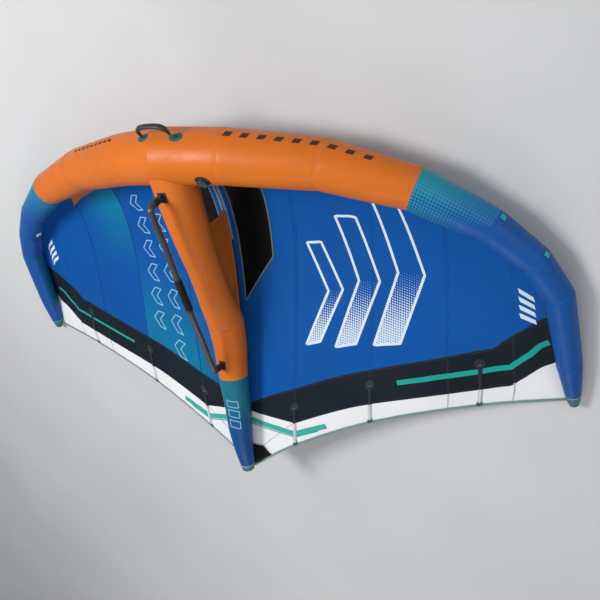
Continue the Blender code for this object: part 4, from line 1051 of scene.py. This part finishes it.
def declare_sheet(points, skip=None):
    """Works out the cut: as long as the piece is along the span, and as wide as it is at its widest. The
    sizes are not kept or declared.
    """
    diagonals = np.cross(points[1:, 1:] - points[:-1, :-1], points[1:, :-1] - points[:-1, 1:])
    cells = np.linalg.norm(diagonals, axis=-1) / 2
    area = float(cells.sum() if skip is None else cells[~skip].sum())
    long = np.linalg.norm(np.diff(points, axis=0), axis=-1).sum(axis=0).max()
    wide = max(np.linalg.norm(np.diff(points, axis=1), axis=-1).sum(axis=1).max(), area / long)
    if area < 0.31 * wide * long:
        wide = area / long


def add_cloth(name, u, edges, counts, material, node, side, thick=CLOTH, window=False, flat=None):
    """A sewn piece of canopy between curves across it. window leaves out the second band's cells."""
    rows = []
    for low, high, count in zip(edges, edges[1:], counts):
        t = np.linspace(0, 1, count + 1)[1 if rows else 0 :]
        rows.append(low(u)[:, None] * (1 - t) + high(u)[:, None] * t)
    v = np.concatenate(rows, axis=1)
    us = np.broadcast_to(u[:, None], v.shape)
    points = canopy(us, v, side=side)
    skip = None
    if window:
        middle = (u[1:] + u[:-1]) / 2
        inside = (middle > WINDOW_SPAN[0]) & (middle < WINDOW_SPAN[1])
        skip = np.zeros((len(u) - 1, v.shape[1] - 1), bool)
        skip[:, counts[0] : counts[0] + counts[1]] = inside[:, None]
    flat = pair(us * TE_HALF_SPAN, v * chord(us)) if flat is None else flat
    obj = add_grid(name, points, flat, material, share=pair(us, v), skip=skip, node=node, thick=thick)
    declare_sheet(points, skip)


def build_canopy():
    wide = fine_columns(0.0, 1.0, extra=SEAM_COLUMNS)
    window = fine_columns(*WINDOW_SPAN)
    corner = fine_columns(0.0, CORNER_EDGE[2][0], 0.006, extra=SEAM_COLUMNS)
    # The hem's map runs along it, so that its stitches do too
    hem_map = pair(travelled(canopy(wide, 1.0))[:, None], np.linspace(0, HEM_WIDTH, HEM_ROWS + 1))
    pieces = (
        ("window_film", window, (window_front, window_rear), 40, "film", "window"),
        ("black_cloth", wide, (blue_edge, black_edge), 16, "black", "black_band"),
        ("white_cloth", wide, (black_edge, corner_edge), 20, "white", "white_panel"),
        ("corner_cloth", corner, (corner_edge, hem_front), 8, "corner", "corner_panel"),
        ("hem", wide, (hem_front, rear_edge), HEM_ROWS, "hem", "trailing_hem", HEM_THICKNESS, hem_map),
    )
    for side, label in SIDES:
        cloth = "blue" if side > 0 else "blue_print"
        for number, span in enumerate(zip(PANEL_SHARES, PANEL_SHARES[1:]), 1):
            edges, counts = (front_edge, blue_edge), (90,)
            if number == 1:
                edges, counts = (front_edge, window_front, window_rear, blue_edge), (10, 40, 40)
            u = fine_columns(*span, extra=SEAM_COLUMNS)
            name, node = f"{label}_blue_cloth_{number}", f"{label}_canopy_panel_{number}"
            add_cloth(name, u, edges, counts, cloth, node, side, window=number == 1)
        for name, u, edges, count, material, node, *own in pieces:
            thick, flat = own or (CLOTH, None)
            row = (u, edges, (count,), material, f"{label}_{node}", side, thick)
            add_cloth(f"{label}_{name}", *row, flat=flat)


def canopy_strip(
    name, u, v, width, material, side, lift=TAPE_LIFT, thick=TAPE_THICKNESS, closed=False, faces=FACES
):
    """A tape or printed line on the cloth, on both its faces or on one."""
    for way, label in faces:
        line = canopy(u, v, lift=way * lift, side=side)
        normals = mirrored(canopy_normal(u, v), side) * way
        full = f"{name}_{label}" if label else name
        ribbon(full, line, normals, width, material, thick, closed)


def rib_strip(name, u, front, rear, count, *rest):
    v = np.linspace(front, rear, count)
    canopy_strip(name, np.full_like(v, u), v, *rest)


def build_canopy_seams():
    for side, label in SIDES:
        for number, u in enumerate(RIB_SHARES[1:-1], 1):
            blue, black = blue_edge(u), black_edge(u)
            tape = (*RIB_SEAMS[label], side, RIB_SEAM_LIFT, 0.0)
            rib_strip(f"{label}_rib_seam_{number}", u, 0.012, blue - 0.006, 90, *tape)
            rib_strip(f"{label}_band_seam_{number}", u, blue, black, 12, 0.010, "black_tape", side)
            rib_strip(f"{label}_white_seam_{number}", u, black, hem_front(u), 14, 0.007, "white_tape", side)
        u = fine_columns(0.004, 0.996, 0.008)
        canopy_strip(f"{label}_blue_edge_seam", u, blue_edge(u), 0.011, "black_tape", side)
        canopy_strip(f"{label}_black_edge_seam", u, black_edge(u), 0.009, "black_tape", side)
        u = fine_columns(0.002, 0.998, 0.006)
        canopy_strip(f"{label}_front_tape", u, np.full_like(u, 0.008), 0.022, "blue_tape", side)
        add_window_frame(side, label)
        start_u, start_v = CORNER_EDGE[1]
        u = fine_columns(0.004, 0.076, 0.004, extra=(start_u,))
        canopy_strip(f"{label}_corner_seam", u, table(CORNER_EDGE, u), 0.008, "white_tape", side)
        t = np.linspace(0, 1, 20)
        u, v = start_u + t * 0.120, start_v - t * 0.034
        canopy_strip(f"{label}_slanted_seam", u, v, 0.005, "white_tape", side)


def add_window_frame(side, label):
    """The folded edge that is sewn round each window."""
    low, high = WINDOW_SPAN
    across = np.linspace(low, high, 24)
    outer = np.linspace(window_front(high), window_rear(high), 40)[1:-1]
    inner = np.linspace(window_rear(low), window_front(low), 50)[1:-1]
    u = np.concatenate([across, np.full_like(outer, high), across[::-1], np.full_like(inner, low)])
    v = np.concatenate([window_front(across), outer, window_rear(across[::-1]), inner])
    canopy_strip(f"{label}_window_frame", u, v, 0.008, "frame_tape", side, closed=True)


def build_battens():
    """Sewn pockets with a round patch at the front and a teal tab at the rear."""
    for side, label in SIDES:
        for number, (u, front) in enumerate(BATTENS, 1):
            add_pocket(side, label, number, u, front)
            add_patch(f"{label}_batten_patch_{number}", u, front, 0.026, "patch", side, 0.0022)
            add_rod(side, label, number, u, front)
            rear = hem_front(u) - 0.004 / chord(u)
            add_patch(f"{label}_batten_tab_{number}", u, rear, 0.0138, "teal_webbing", side, 0.0052)


def add_pocket(side, label, number, u, front):
    """A narrow padded channel whose batten lifts its middle."""
    v = np.linspace(front, hem_front(u) - 0.0008, 60)[:, None]
    across = np.linspace(-0.5, 0.5, 15) * POCKET_WIDTH
    rise = np.clip((v - v[0]) * chord(u) / 0.020, 0, 1) ** 0.5
    fall = 0.5 + 0.5 * np.clip((v[-1] - v) * chord(u) / 0.024, 0, 1)
    bump = POCKET_DEPTH * (1 - (np.abs(across) / (POCKET_WIDTH / 2)) ** 3)
    points = canopy(u + across / TE_HALF_SPAN, v, lift=-(0.0014 + bump * rise * fall), side=side)
    flat = pair(v * chord(u), across + POCKET_WIDTH / 2)
    split, node = black_edge(u), f"{label}_batten_pocket_{number}"
    for name, rows, cloth in (("front", v <= split + 0.004, "black"), ("rear", v >= split - 0.001, "white")):
        piece, rows = f"{label}_batten_pocket_{name}_{number}", rows[:, 0]
        more = {"node": node, "thick": PATCH_THICKNESS, "fill": 0.7}
        add_grid(piece, points[rows], flat[rows], f"pocket_{cloth}", **more)


def add_rod(side, label, number, u, front):
    """The flat rod with rounded edges that keeps the cloth tight."""
    v = np.linspace(front + 0.004 / chord(u), hem_front(u) - 0.024 / chord(u), 50)[:, None]
    turn = circle(16)
    across = squared(np.cos(turn), 0.5) * ROD_WIDTH / 2
    deep = ROD_DEPTH + np.sin(turn) * ROD_THICKNESS / 2
    points = canopy(u + across / TE_HALF_SPAN, v, lift=-deep, side=side)
    flat = pair(v * chord(u), turn * 0.004)
    add_grid(f"{label}_batten_rod_{number}", points, flat, "rod", ends=True, node=f"{label}_batten_{number}")


def add_patch(name, u, v, radius, material, side, depth):
    """A round reinforcement that is sewn on the cloth's lower side."""
    x, y, r = disc(7, 32, radius, radius)
    lift = -(depth + 0.0006 * (1 - r**6))
    points = canopy(u + x / TE_HALF_SPAN, v + y / chord(u), lift=lift, side=side)
    flat = pair(x, y)
    add_grid(name, points, flat, material, share=flat, thick=PATCH_THICKNESS)


# Prints


def stripe(name, points, width, material, side):
    """A printed stripe through (u, v) points."""
    points = np.array(points)
    keys = np.arange(len(points))
    fine = np.linspace(0, keys[-1], 24 * keys[-1] + 1)
    u, v = (np.interp(fine, keys, points[:, k]) for k in (0, 1))
    canopy_strip(name, u, v, width, material, side, LINE_LIFT, 0.0)


def outline(name, corners, width, material, side):
    """A closed printed line round a shape given by (u, v) corners."""
    canopy_strip(name, *closed_line(corners, 16), width, material, side, LINE_LIFT, 0.0, True)


def filled(name, corners, material, side):
    """A printed four-cornered fill. Its share map runs from the first edge to the third."""
    s, t = square(40, 24)
    u, v = between(corners, s, t)
    for way, label in FACES:
        points = canopy(u, v, lift=way * FILL_LIFT, side=side)
        add_grid(f"{name}_{label}", points, pair(u * TE_HALF_SPAN, v * chord(u)), material, share=pair(s, t))


def slanted_bar(x, y, wide, long, slant):
    """Corners of a leaning bar."""
    return [(x, y), (x + wide, y), (x + wide + slant, y + long), (x + slant, y + long)]


def chevron(u, v, wide, long, point):
    """Corners of an arrow shape that points to the tip."""
    tip, notch = (u + wide + point, v + long / 2), (u + point, v + long / 2)
    return [(u, v), (u + wide, v), tip, (u + wide, v + long), (u, v + long), notch]


def tube_loop(name, corners, width, material, place):
    """A closed printed line on a tube. place turns two coordinates and a lift into points."""
    x, y = closed_line(corners, 14)
    line = place(x, y, TUBE_PRINT_LIFT)
    normals = unit(place(x, y, TUBE_PRINT_LIFT + 0.02) - line)
    ribbon(name, line, normals, width, material, closed=True)


def tube_fill(name, corners, material, place):
    s, t = square(14, 14)
    flat = pair(s * 0.04, t * 0.02)
    add_grid(name, place(*between(corners, s, t), TUBE_PRINT_LIFT), flat, material, share=flat)


def on_edge(metres, degrees, lift):
    return le_point(le_place_at(metres), np.radians(degrees), lift)


def on_strut(y, degrees, lift):
    return strut_point(y, np.radians(degrees), lift)


def build_tube_prints():
    """Dark dashes along the front of the tube, and three outlined bars on the strut."""
    dashes = (
        ("left", 0.330, 0.074, (190, 0.032, 14, -0.008)),
        ("right", -0.640, 0.042, (200, 0.022, 8, 0.005)),
    )
    for label, start, step, bar in dashes:
        for number in range(9):
            corners = slanted_bar(start + number * step, *bar)
            tube_fill(f"{label}_edge_dash_{number + 1}", corners, "dark_mark", on_edge)
    for number in range(3):
        corners = slanted_bar(1.345 + number * 0.062, 262, 0.040, 48, 0.012)
        tube_loop(f"strut_bar_{number + 1}", corners, 0.006, "thin_mark", on_strut)


def build_prints():
    """Plain arrows and bars, in the places and colours of the wing's own graphics."""
    for number, arrow in enumerate(ARROWS, 1):
        corners = chevron(*arrow, 0.075)
        filled(f"left_arrow_fill_{number}", [corners[5], *corners[2:5]], "halftone", 1)
        outline(f"left_arrow_line_{number}", corners, 0.013, "mark", 1)
    for column, (u, start) in enumerate(((0.240, 0.22), (0.330, 0.14)), 1):
        for row in range(6):
            corners = chevron(u, start + row * 0.098, 0.030, 0.066, 0.026)
            outline(f"right_column_{column}_{row + 1}", corners, 0.007, "thin_mark", -1)
    for side, label in SIDES:
        u, v, width = (0.880, 0.285, 0.026) if side > 0 else (0.900, 0.130, 0.016)
        for number in range(4):
            corners = slanted_bar(u, v + number * 0.050, 0.046, 0.028, 0.004)
            filled(f"{label}_tip_mark_{number + 1}", corners, "mark", side)
        stripes = (
            ("band_stripe", BAND_STRIPE, width, "teal"),
            ("centre_stripe", ((0.013, 0.835), (0.174, 0.950), (0.290, 0.961)), 0.030, "pale_teal"),
            ("centre_line", ((0.013, 0.848), (0.174, 0.963), (0.260, 0.971)), 0.006, "teal"),
        )
        for name, *row in stripes:
            stripe(f"{label}_{name}", *row, side)


# Strut and web


def strut_relief(y, angle):
    """The tube narrows a little at each seam and fills out between them."""
    distance = np.min(np.abs(y[..., None] - STRUT_SEAMS), axis=-1)
    phase = angle * PUCKER_COUNT + 2.3 * np.sin(2 * angle)
    return 0.0006 + seam_folds(distance, phase, 0.8)


def add_strut_part(name, start, end, material, node):
    y = np.linspace(start, end, max(12, int((end - start) / STRUT_STEP)))
    y = np.unique(np.append(y, [s for s in STRUT_Y if start < s < end]))[:, None]
    points = strut_point(y, TURN, strut_relief(y, TURN))
    points[:, -1] = points[:, 0]
    flat = pair(y, TURN * STRUT_RADIUS * 0.8)
    add_grid(name, points, flat, material, share=pair(y, TURN / (2 * np.pi)), node=node, fill=1.0)


def strut_band(name, y, width, lift, material):
    offsets, profile = band_profile(width, lift)
    points = strut_point(y + offsets, TURN, strut_relief(y + offsets, TURN) + profile)
    add_grid(name, points, pair(TURN * STRUT_RADIUS, offsets + width / 2), material)


def build_strut():
    cap_y = STRUT_Y[STRUT_CAP_SEAM]
    add_strut_part("orange_strut", STRUT_Y[0], STRUT_COLOUR_Y, "orange", "strut_front_sleeve")
    add_strut_part("fading_strut", STRUT_COLOUR_Y, cap_y, "strut_rear", "strut_rear_sleeve")
    strut_band("strut_kink_seam", STRUT_Y[STRUT_KINK], 0.006, 0.0005, "orange_tape")
    strut_band("strut_colour_seam", STRUT_COLOUR_Y, 0.010, BAND_LIFT, "orange_tape")
    strut_band("strut_cap_seam", cap_y, 0.012, 0.0012, "grey_tape")
    add_strut_cap(cap_y)
    add_junction_seam()


def add_strut_cap(start):
    t = np.linspace(0, 1, 24)[:, None]
    dome = np.clip(t * 2 - 1, 0, 1) * np.pi / 2
    points = strut_point(start + (STRUT_END - start) * np.clip(t * 2, 0, 1), TURN)
    middle = points[:, :-1].mean(axis=1, keepdims=True)
    points = middle + (points - middle) * np.cos(dome * 0.985)[..., None]
    points[..., 1] += np.sin(dome) * 0.0155
    flat = pair(t * 0.06, TURN * 0.04)
    add_grid("cloth_strut_cap", points, flat, "cap", share=flat, node="strut_end_cap", fill=1.0)


def junction(lift, angle):
    """How far aft a strut that is wider by lift would meet the leading edge, for each angle."""
    low, high = np.full_like(angle, 0.02), np.full_like(angle, 0.30)
    for _ in range(40):
        middle = (low + high) / 2
        point = strut_point(middle, angle, lift)
        place = np.abs(point[..., 0]) / LE_CENTRES[1, 0]
        centre = LE_CENTRES[1] * place[..., None]
        radius = CENTRE_RADIUS * (1 - place) + LE_RADII[1] * place + 0.0010
        inside = np.hypot(point[..., 1] - centre[..., 1], point[..., 2] - centre[..., 2]) < radius
        low, high = np.where(inside, middle, low), np.where(inside, high, middle)
    return high


def add_junction_seam():
    """The stitched fillet where the strut grows out of the leading edge."""
    turn = circle(TUBE_SIDES * 2)
    rows = [strut_point(junction(lift, turn), turn, lift) for lift in (0.016, 0.010, 0.005)]
    base = junction(0.0, turn)
    for ahead, lift in ((0.005, 0.0028), (0.010, 0.0016), (0.018, 0.0009)):
        rows.append(strut_point(base + ahead, turn, lift))
    steps = np.array([0.0, 0.006, 0.011, 0.015, 0.020, 0.028])[:, None] * 0.012 / 0.028
    add_grid("strut_junction_seam", np.stack(rows), pair(turn * STRUT_RADIUS, steps), "orange_tape")


def build_web():
    end = STRUT_Y[STRUT_CAP_SEAM] - 0.01
    s, t = square(110, 26)
    y = WEB_FRONT + WEB_FRONT_HOLLOW * np.sin(np.pi * t) * (1 - s) ** 6 + (end - WEB_FRONT) * s
    z = web_bottom(y) * (1 - t) + web_top(y) * t
    strain = 0.0016 * np.sin(y * 46 + t * 5) * np.sin(np.pi * t)
    points = np.stack([strain, y, z], axis=-1)
    flat = pair(y, z)
    obj = add_grid("orange_web", points, flat, "web", share=flat, node="strut_web", thick=CLOTH)
    declare_sheet(points)
    tape = (WEB_TAPE_WIDTH, "orange_tape", WEB_TAPE_THICKNESS)
    for way, label in SIDES:
        line = points[0] + (way * 0.0016, 0.004, 0.0)
        ribbon(f"web_{label}_front_binding", line, ACROSS * way, *tape)
        line = points[:, -1] * (0.0, 1.0, 1.0) + (way * 0.0022, 0.0, -0.006)
        ribbon(f"web_{label}_top_tape", line, ACROSS * way, *tape)
        v = np.interp(np.linspace(0.14, 0.56, 30), KEEL[:, 1], KEEL_V)
        face = ((-1, ""),)
        strip = (f"{label}_centre_strip", np.full_like(v, 0.0045), v, 0.014, "grey_tape", way)
        canopy_strip(*strip, 0.0020, 0.0007, faces=face)
        y = np.linspace(WEB_FRONT, end, 90)
        angle = np.pi / 2 - way * 0.075
        line = strut_point(y, angle, 0.0014)
        normals = unit(strut_point(y, angle, 0.1) - line)
        ribbon(f"web_{label}_foot_tape", line, normals, 0.014, "orange_tape", WEB_TAPE_THICKNESS)


# Boom


BOOM_AXIS = unit(EYE_REAR - EYE_FRONT)
BOOM_CORNERS = [np.array([0.0, BOOM_FRONT + y * BOOM_LENGTH, z * BOOM_DROP]) for y, z in BOOM_SHARES]
BOOM_PATH = rounded_path([EYE_FRONT, *BOOM_CORNERS, EYE_REAR], BOOM_BEND)


def build_boom():
    line = part_of(BOOM_PATH, 0.040, -0.040)
    tube("boom_wound_tube", line, ACROSS, BOOM_RADIUS, "boom", 28, body="boom", node="boom_tube")
    add_grip()
    for name, eye in (("front", EYE_FRONT), ("rear", EYE_REAR)):
        add_fitting(name, eye)
        add_anchor(name, eye)


def add_grip():
    """The foam sleeve, with rounded ends and a band at each end."""
    start, after = BOOM_CORNERS[GRIP_CORNER : GRIP_CORNER + 2]
    direction = unit(after - start)
    first = start + direction * (BOOM_FRONT + GRIP_START * BOOM_LENGTH - start[1])
    t = np.linspace(0, 1, 90)
    line = first + direction * (t[:, None] * GRIP_LENGTH)
    wall = GRIP_WALL * np.sqrt(np.clip(np.minimum(t, 1 - t) * GRIP_LENGTH / 0.004, 0.02, 1))
    size = BOOM_RADIUS + wall + 0.0006 * np.sin(np.pi * t)
    tube("boom_foam_grip", line, ACROSS, size, "grip", 40, body="boom", node="boom_grip")
    size = BOOM_RADIUS + 0.0012 * np.array([0.2, 0.8, 1.0, 1.0, 1.0, 0.8, 0.2])
    for number, place in enumerate((-0.004, GRIP_LENGTH + 0.004), 1):
        band = first + direction * (place + np.linspace(-0.004, 0.004, 7)[:, None])
        tube(f"boom_grip_band_{number}", band, ACROSS, size, "black_plastic", 32, body="boom")


def add_fitting(name, eye):
    """A moulded end: a socket round the tube and a rounded eye for the strap."""
    near, far = SOCKET_ENDS
    ends = (near, far) if name == "front" else (-far, -near)
    stem = part_of(BOOM_PATH, *ends, 0.003)
    inner = np.linspace(0, 1, len(stem))
    inner = inner if name == "front" else inner[::-1]
    size = BOOM_RADIUS + 0.0022 * np.clip(inner * 1.4, 0, 1) * np.clip((1.06 - inner) * 12, 0, 1)
    node = f"boom_{name}_fitting"
    tube(f"boom_{name}_socket", stem, ACROSS, size, "black_plastic", 32, body="boom", node=node)
    turn, profile = circle(48), circle(24)
    radial = around(ACROSS, np.cross(ACROSS, BOOM_AXIS), turn)
    ring = EYE_RING + squared(np.cos(profile), 0.6) * 0.0026
    rise = squared(np.sin(profile), 0.6) * 0.0125
    points = eye + radial[:, None] * ring[:, None] + BOOM_AXIS * rise[:, None]
    flat = pair(turn[:, None] * EYE_RING, profile * 0.005)
    add_grid(f"boom_{name}_eye", points, flat, "black_plastic", body="boom")


def add_anchor(name, eye):
    """The rounded patch on the strut's lower side, and the strap that runs through the boom's eye."""
    back = 0.0 if name == "front" else 0.026
    half_long, half_angle = 0.025, 0.25
    s, t = (2 * share - 1 for share in square(31, 31))
    y = eye[1] + back + s * (1 - 0.03 * np.abs(t) ** 8) * half_long
    angle = -np.pi / 2 + t * (1 - 0.03 * np.abs(s) ** 8) * half_angle
    rise = 0.0018 * (1 - np.maximum(np.abs(s), np.abs(t)) ** 10) + 0.0004
    points = strut_point(y, angle, rise + strut_relief(y, angle))
    flat = pair(s * half_long + half_long, t * half_angle * STRUT_RADIUS)
    add_grid(f"boom_{name}_patch", points, flat, "webbing", share=flat, node=f"boom_{name}_anchor")
    up = np.cross(BOOM_AXIS, ACROSS)
    up = up if up[2] > 0 else -up
    profile = (
        (-0.022 + back, 0.0200), (-0.019 + back / 2, 0.0180), (-0.0155, 0.0090), (-0.0135, 0.0005),
        (0.0135, 0.0005), (0.0155 + back / 4, 0.0090), (0.020 + back / 2, 0.0180), (0.024 + back, 0.0200),
    )
    line = rounded_path([eye + BOOM_AXIS * a + up * b for a, b in profile], 0.010, 6)
    line = part_of(line, step=0.002)
    normals = unit(np.cross(np.gradient(line, axis=0), ACROSS))
    ribbon(f"boom_{name}_strap", line, normals, 0.020, "webbing", 0.0026)


# Neutral handle


def build_handle():
    """A padded strap in an arch, with webbing ends and a patch under each end."""
    out = around(LE_AFT[0], LE_UP[0], HANDLE_ANGLE)
    foot = ACROSS * HANDLE_CENTRE + out * (CENTRE_RADIUS + HANDLE_SEAT)
    points = [foot + ACROSS * x * HANDLE_SPAN / 2 + out * h * (HANDLE_HEIGHT - 0.004) for x, h in HANDLE_ARCH]
    path = part_of(rounded_path(points, 0.030, 8), step=0.003)
    length = travelled(path)[-1]
    at = np.linspace(0, length, len(path))
    end = np.minimum(at, length - at)
    ends = (0.0, 0.018, 0.040, 0.060)
    wide = np.interp(end, ends, (0.0060, 0.0095, 0.0135, 0.0140))
    thick = np.interp(end, ends, (0.0030, 0.0042, 0.0090, 0.0098))
    side = np.cross(out, ACROSS)
    normal = np.cross(unit(np.gradient(path, axis=0)), side)
    turn = circle(32)
    across = side * (squared(np.cos(turn), 0.8)[:, None] * wide[:, None, None])
    points = path[:, None] + across + normal[:, None] * (np.sin(turn)[:, None] * thick[:, None, None])
    flat = pair(travelled(path)[:, None], turn * 0.012)
    more = {"body": "neutral_handle", "node": "neutral_handle", "fill": 0.8}
    add_grid("neutral_handle_strap", points, flat, "neoprene", **more)
    for way, label in SIDES[::-1]:
        x, name = HANDLE_CENTRE + way * HANDLE_SPAN / 2, f"neutral_handle_{label}"
        tube_patch(f"{name}_patch", x, HANDLE_ANGLE, 0.031, 0.024, "teal_webbing", 0.0016, f"{name}_foot")
        tube_patch(f"{name}_tab", x, HANDLE_ANGLE, 0.017, 0.011, "webbing", 0.0052)


def tube_patch(name, x, angle, half_long, half_wide, material, lift, node=None):
    """An oval patch on the middle panel of the leading edge."""
    dx, dy, r = disc(10, 48, half_long, half_wide)
    rise = lift * (1 - r**6) + 0.0006 + TUBE_BULGE
    points = le_point(centre_place(x + dx), angle + dy / CENTRE_RADIUS, rise)
    flat = pair(dx, dy)
    add_grid(name, points, flat, material, share=flat, node=node)


# Valve


def revolved(name, seat, axes, rows, material, **more):
    """A turned shape. rows hold (radius, height) from the seat."""
    along, tangent, out = axes
    radius, height = np.array(rows).T[..., None]
    turn = circle(64)
    points = seat + radius[..., None] * around(along, tangent, turn) + height[..., None] * out
    flat = pair(radius + height, turn * 0.02)
    add_grid(name, points, flat, material, share=flat, **more)


def build_valve():
    """The patch, the ring, its cap with the strap that holds it, and the hinge post."""
    low, middle, high = VALVE_ANGLES
    fore, rear = (le_point(centre_place(VALVE_X), angle) for angle in (low, high))
    seat = (fore + rear) / 2
    along = unit(LE_CENTRES[1] - LE_CENTRES[0])
    out = unit(np.cross(along, unit(rear - fore)))
    out = out if out @ seat > 0 else -out
    axes = (along, np.cross(out, along), out)
    tube_patch("valve_round_patch", VALVE_X, middle, 0.036, 0.036, "patch", 0.0016, "valve_patch")
    foot, rim, top = VALVE_FOOT, VALVE_RIM, VALVE_RIM + 0.0003
    ring = (
        (0.0295, foot), (0.0295, foot + 0.0016), (0.0285, foot + 0.0028), (0.0240, foot + 0.0032),
        (0.0232, foot + 0.0040), (0.0236, foot + 0.0052), (0.0230, foot + 0.0064), (0.0236, foot + 0.0076),
        (0.0230, rim - 0.0014), (0.0224, rim - 0.0002), (0.0168, rim - 0.0002), (0.0160, rim - 0.0010),
        (0.0158, rim - 0.0034), (0.0004, rim - 0.0034),
    )
    revolved("valve_ring", seat, axes, ring, "black_plastic", node="valve_body")
    cap = (
        (0.0004, top), (0.0240, top), (0.0252, top + 0.0008), (0.0255, top + 0.0026), (0.0248, top + 0.0040),
        (0.0228, top + 0.0045), (0.0190, top + 0.0040), (0.0178, top + 0.0030), (0.0172, top + 0.0030),
        (0.0150, top + 0.0038), (0.0004, top + 0.0040),
    )
    revolved("valve_teal_cap", seat, axes, cap, "teal_plastic", body="valve_cap", node="valve_cap")

    def line(*places, step):
        return part_of(np.array([seat + t * axes[1] + h * out for t, h in places]), step=step)

    strap = line((VALVE_HINGE - 0.0015, top + 0.0010), (VALVE_HINGE + 0.0010, top + 0.0034),
                 (-0.0235, top + 0.0036), step=0.0015)
    ribbon("valve_cap_tether", strap, out, 0.0096, "teal_plastic", 0.0016, body="valve_cap")
    post = line((VALVE_HINGE, foot + 0.0010), (VALVE_HINGE, top - 0.0012), step=0.002)
    tube("valve_hinge_post", post, along, 0.0040, "black_plastic", 24)


# Small trim


def build_trim():
    """Tags, the orange gussets under the tube and the teal stripes inside the tips."""
    for side, label in SIDES:
        for number, (start, end) in enumerate(((5.80, 6.45), (6.50, 7.16)), 1):
            add_le_stripe(f"{label}_inside_stripe_{number}", side, start, end)
        add_gusset(side, label)
        for number, place in enumerate((4.05, 4.98), 1):
            name = f"{label}_seam_tag_{number}"
            tag_on_tube(name, side * place, np.radians(184), 0.024, 0.026, "pale_teal")
    tag_on_tube("tube_tag", -4.63, np.radians(337), 0.042, 0.030, "tag")
    add_web_tag()


def add_le_stripe(name, side, start, end):
    s = np.linspace(start, end, 40)[:, None]
    t = np.linspace(-0.5, 0.5, 7)
    points = le_point(side * s, np.radians(356 + 22 * t), 0.0008 + TUBE_BULGE)
    flat = pair(s * 0.2, t * 0.02)
    add_grid(name, points, flat, "dull_teal", share=flat)


def add_gusset(side, label):
    """A three-cornered piece where tube and canopy panels meet."""
    s, t = square(20, 10)
    u, v = between(((0.520, 0.040), (0.665, 0.030), (0.690, 0.086), (0.530, 0.064)), t, s)
    points = canopy(u, v, lift=-GUSSET_LIFT, side=side)
    flat = pair(u * TE_HALF_SPAN, v * chord(u))
    add_grid(f"{label}_gusset", points, flat, "orange", share=pair(u, v), thick=TAG_THICKNESS)


def tag_on_tube(name, place, angle, width, length, material):
    s, t = square(9, 7, -0.5, 0.5)
    lift = 0.0014 + TUBE_BULGE + 0.0006 * s
    points = le_point(place + t * width / 0.25, angle + s * length / le_radius(place), lift)
    flat = pair(s * length, t * width)
    add_grid(name, points, flat, material, share=flat, thick=TAG_THICKNESS)


def add_web_tag():
    """A small folded tag in the seam between web and canopy."""
    s, t = square(7, 7, -0.5, 0.5)
    flat = pair(s * 0.022, t * 0.018)
    y = 0.962 + flat[..., 1]
    points = np.stack([0.0030 + 0.003 * s, y, web_top(y) - 0.004 - flat[..., 0]], axis=-1)
    add_grid("web_tag", points, flat, "tag", share=flat, thick=TAG_THICKNESS)


def build_bladders():
    """The air tubes inside the sleeves, in thin film, and the duct between them."""
    turn = circle(48)
    places = np.sort(np.append(np.linspace(-7.99, 7.99, 240), np.arange(-7, 8)))[:, None]
    points = le_point(places, turn, -BLADDER_GAP)
    flat = pair(places * 0.3, turn * 0.1)
    add_grid("film_le_bladder", points, flat, "bladder", node="le_bladder", fill=1.0)
    y = np.linspace(0.175, STRUT_Y[STRUT_CAP_SEAM] - 0.004, 150)[:, None]
    points = strut_point(y, turn, -BLADDER_GAP)
    flat = pair(y, turn * 0.08)
    add_grid("film_strut_bladder", points, flat, "bladder", node="strut_bladder", fill=1.0)
    duct = frame["nodes"]["transfer_duct"]
    duct.data.materials.clear()
    duct.data.materials.append(MATERIALS["bladder"])


# Light and camera


def add_light(name, place, target, size, power):
    data = bpy.data.lights.new(name, "AREA")
    data.shape = "SQUARE"
    data.size = size
    data.energy = power
    lamp = bpy.data.objects.new(name, data)
    bpy.context.scene.collection.objects.link(lamp)
    lamp.location = place
    lamp.rotation_mode = "QUATERNION"
    lamp.rotation_quaternion = (Vector(target) - Vector(place)).to_track_quat("-Z", "Y")


def build_light():
    world = bpy.data.worlds.new("studio")
    bpy.context.scene.world = world
    world.use_nodes = True
    background = world.node_tree.nodes["Background"]
    background.inputs["Color"].default_value = (0.92, 0.95, 1.0, 1.0)
    background.inputs["Strength"].default_value = 0.36
    add_light("key", (1.5, -2.0, 4.3), (0.0, 0.0, 0.2), 1.4, 186)
    add_light("fill", (-4.0, -2.4, 3.2), (0.0, 0.2, 0.2), 3.4, 60)
    add_light("rim", (-1.0, 4.4, 3.6), (0.0, 0.0, 0.2), 2.6, 70)
    bpy.context.scene.view_settings.view_transform = "Standard"


def build_camera():
    right, down = unit(np.array(CAMERA_RIGHT)), unit(np.array(CAMERA_DOWN))
    axes = LAY_TURN @ np.stack([right, -down, -np.cross(right, down)], axis=-1)
    place = lay(np.array(CAMERA_PLACE))
    data = bpy.data.cameras.new("camera")
    data.sensor_width = 36.0
    data.lens = data.sensor_width * CAMERA_FOCAL_PX / FRAME_PX
    data.clip_start, data.clip_end = 0.05, 100.0
    camera = bpy.data.objects.new("camera", data)
    bpy.context.scene.collection.objects.link(camera)
    camera.matrix_world = Matrix([[*axes[i], place[i]] for i in range(3)] + [[0, 0, 0, 1]])
    bpy.context.scene.camera = camera


build_camera()
build_light()
add_floor()
build_leading_edge()
build_strut()
build_canopy()
build_canopy_seams()
build_battens()
build_prints()
build_tube_prints()
build_web()
build_boom()
build_handle()
build_valve()
build_trim()
build_bladders()
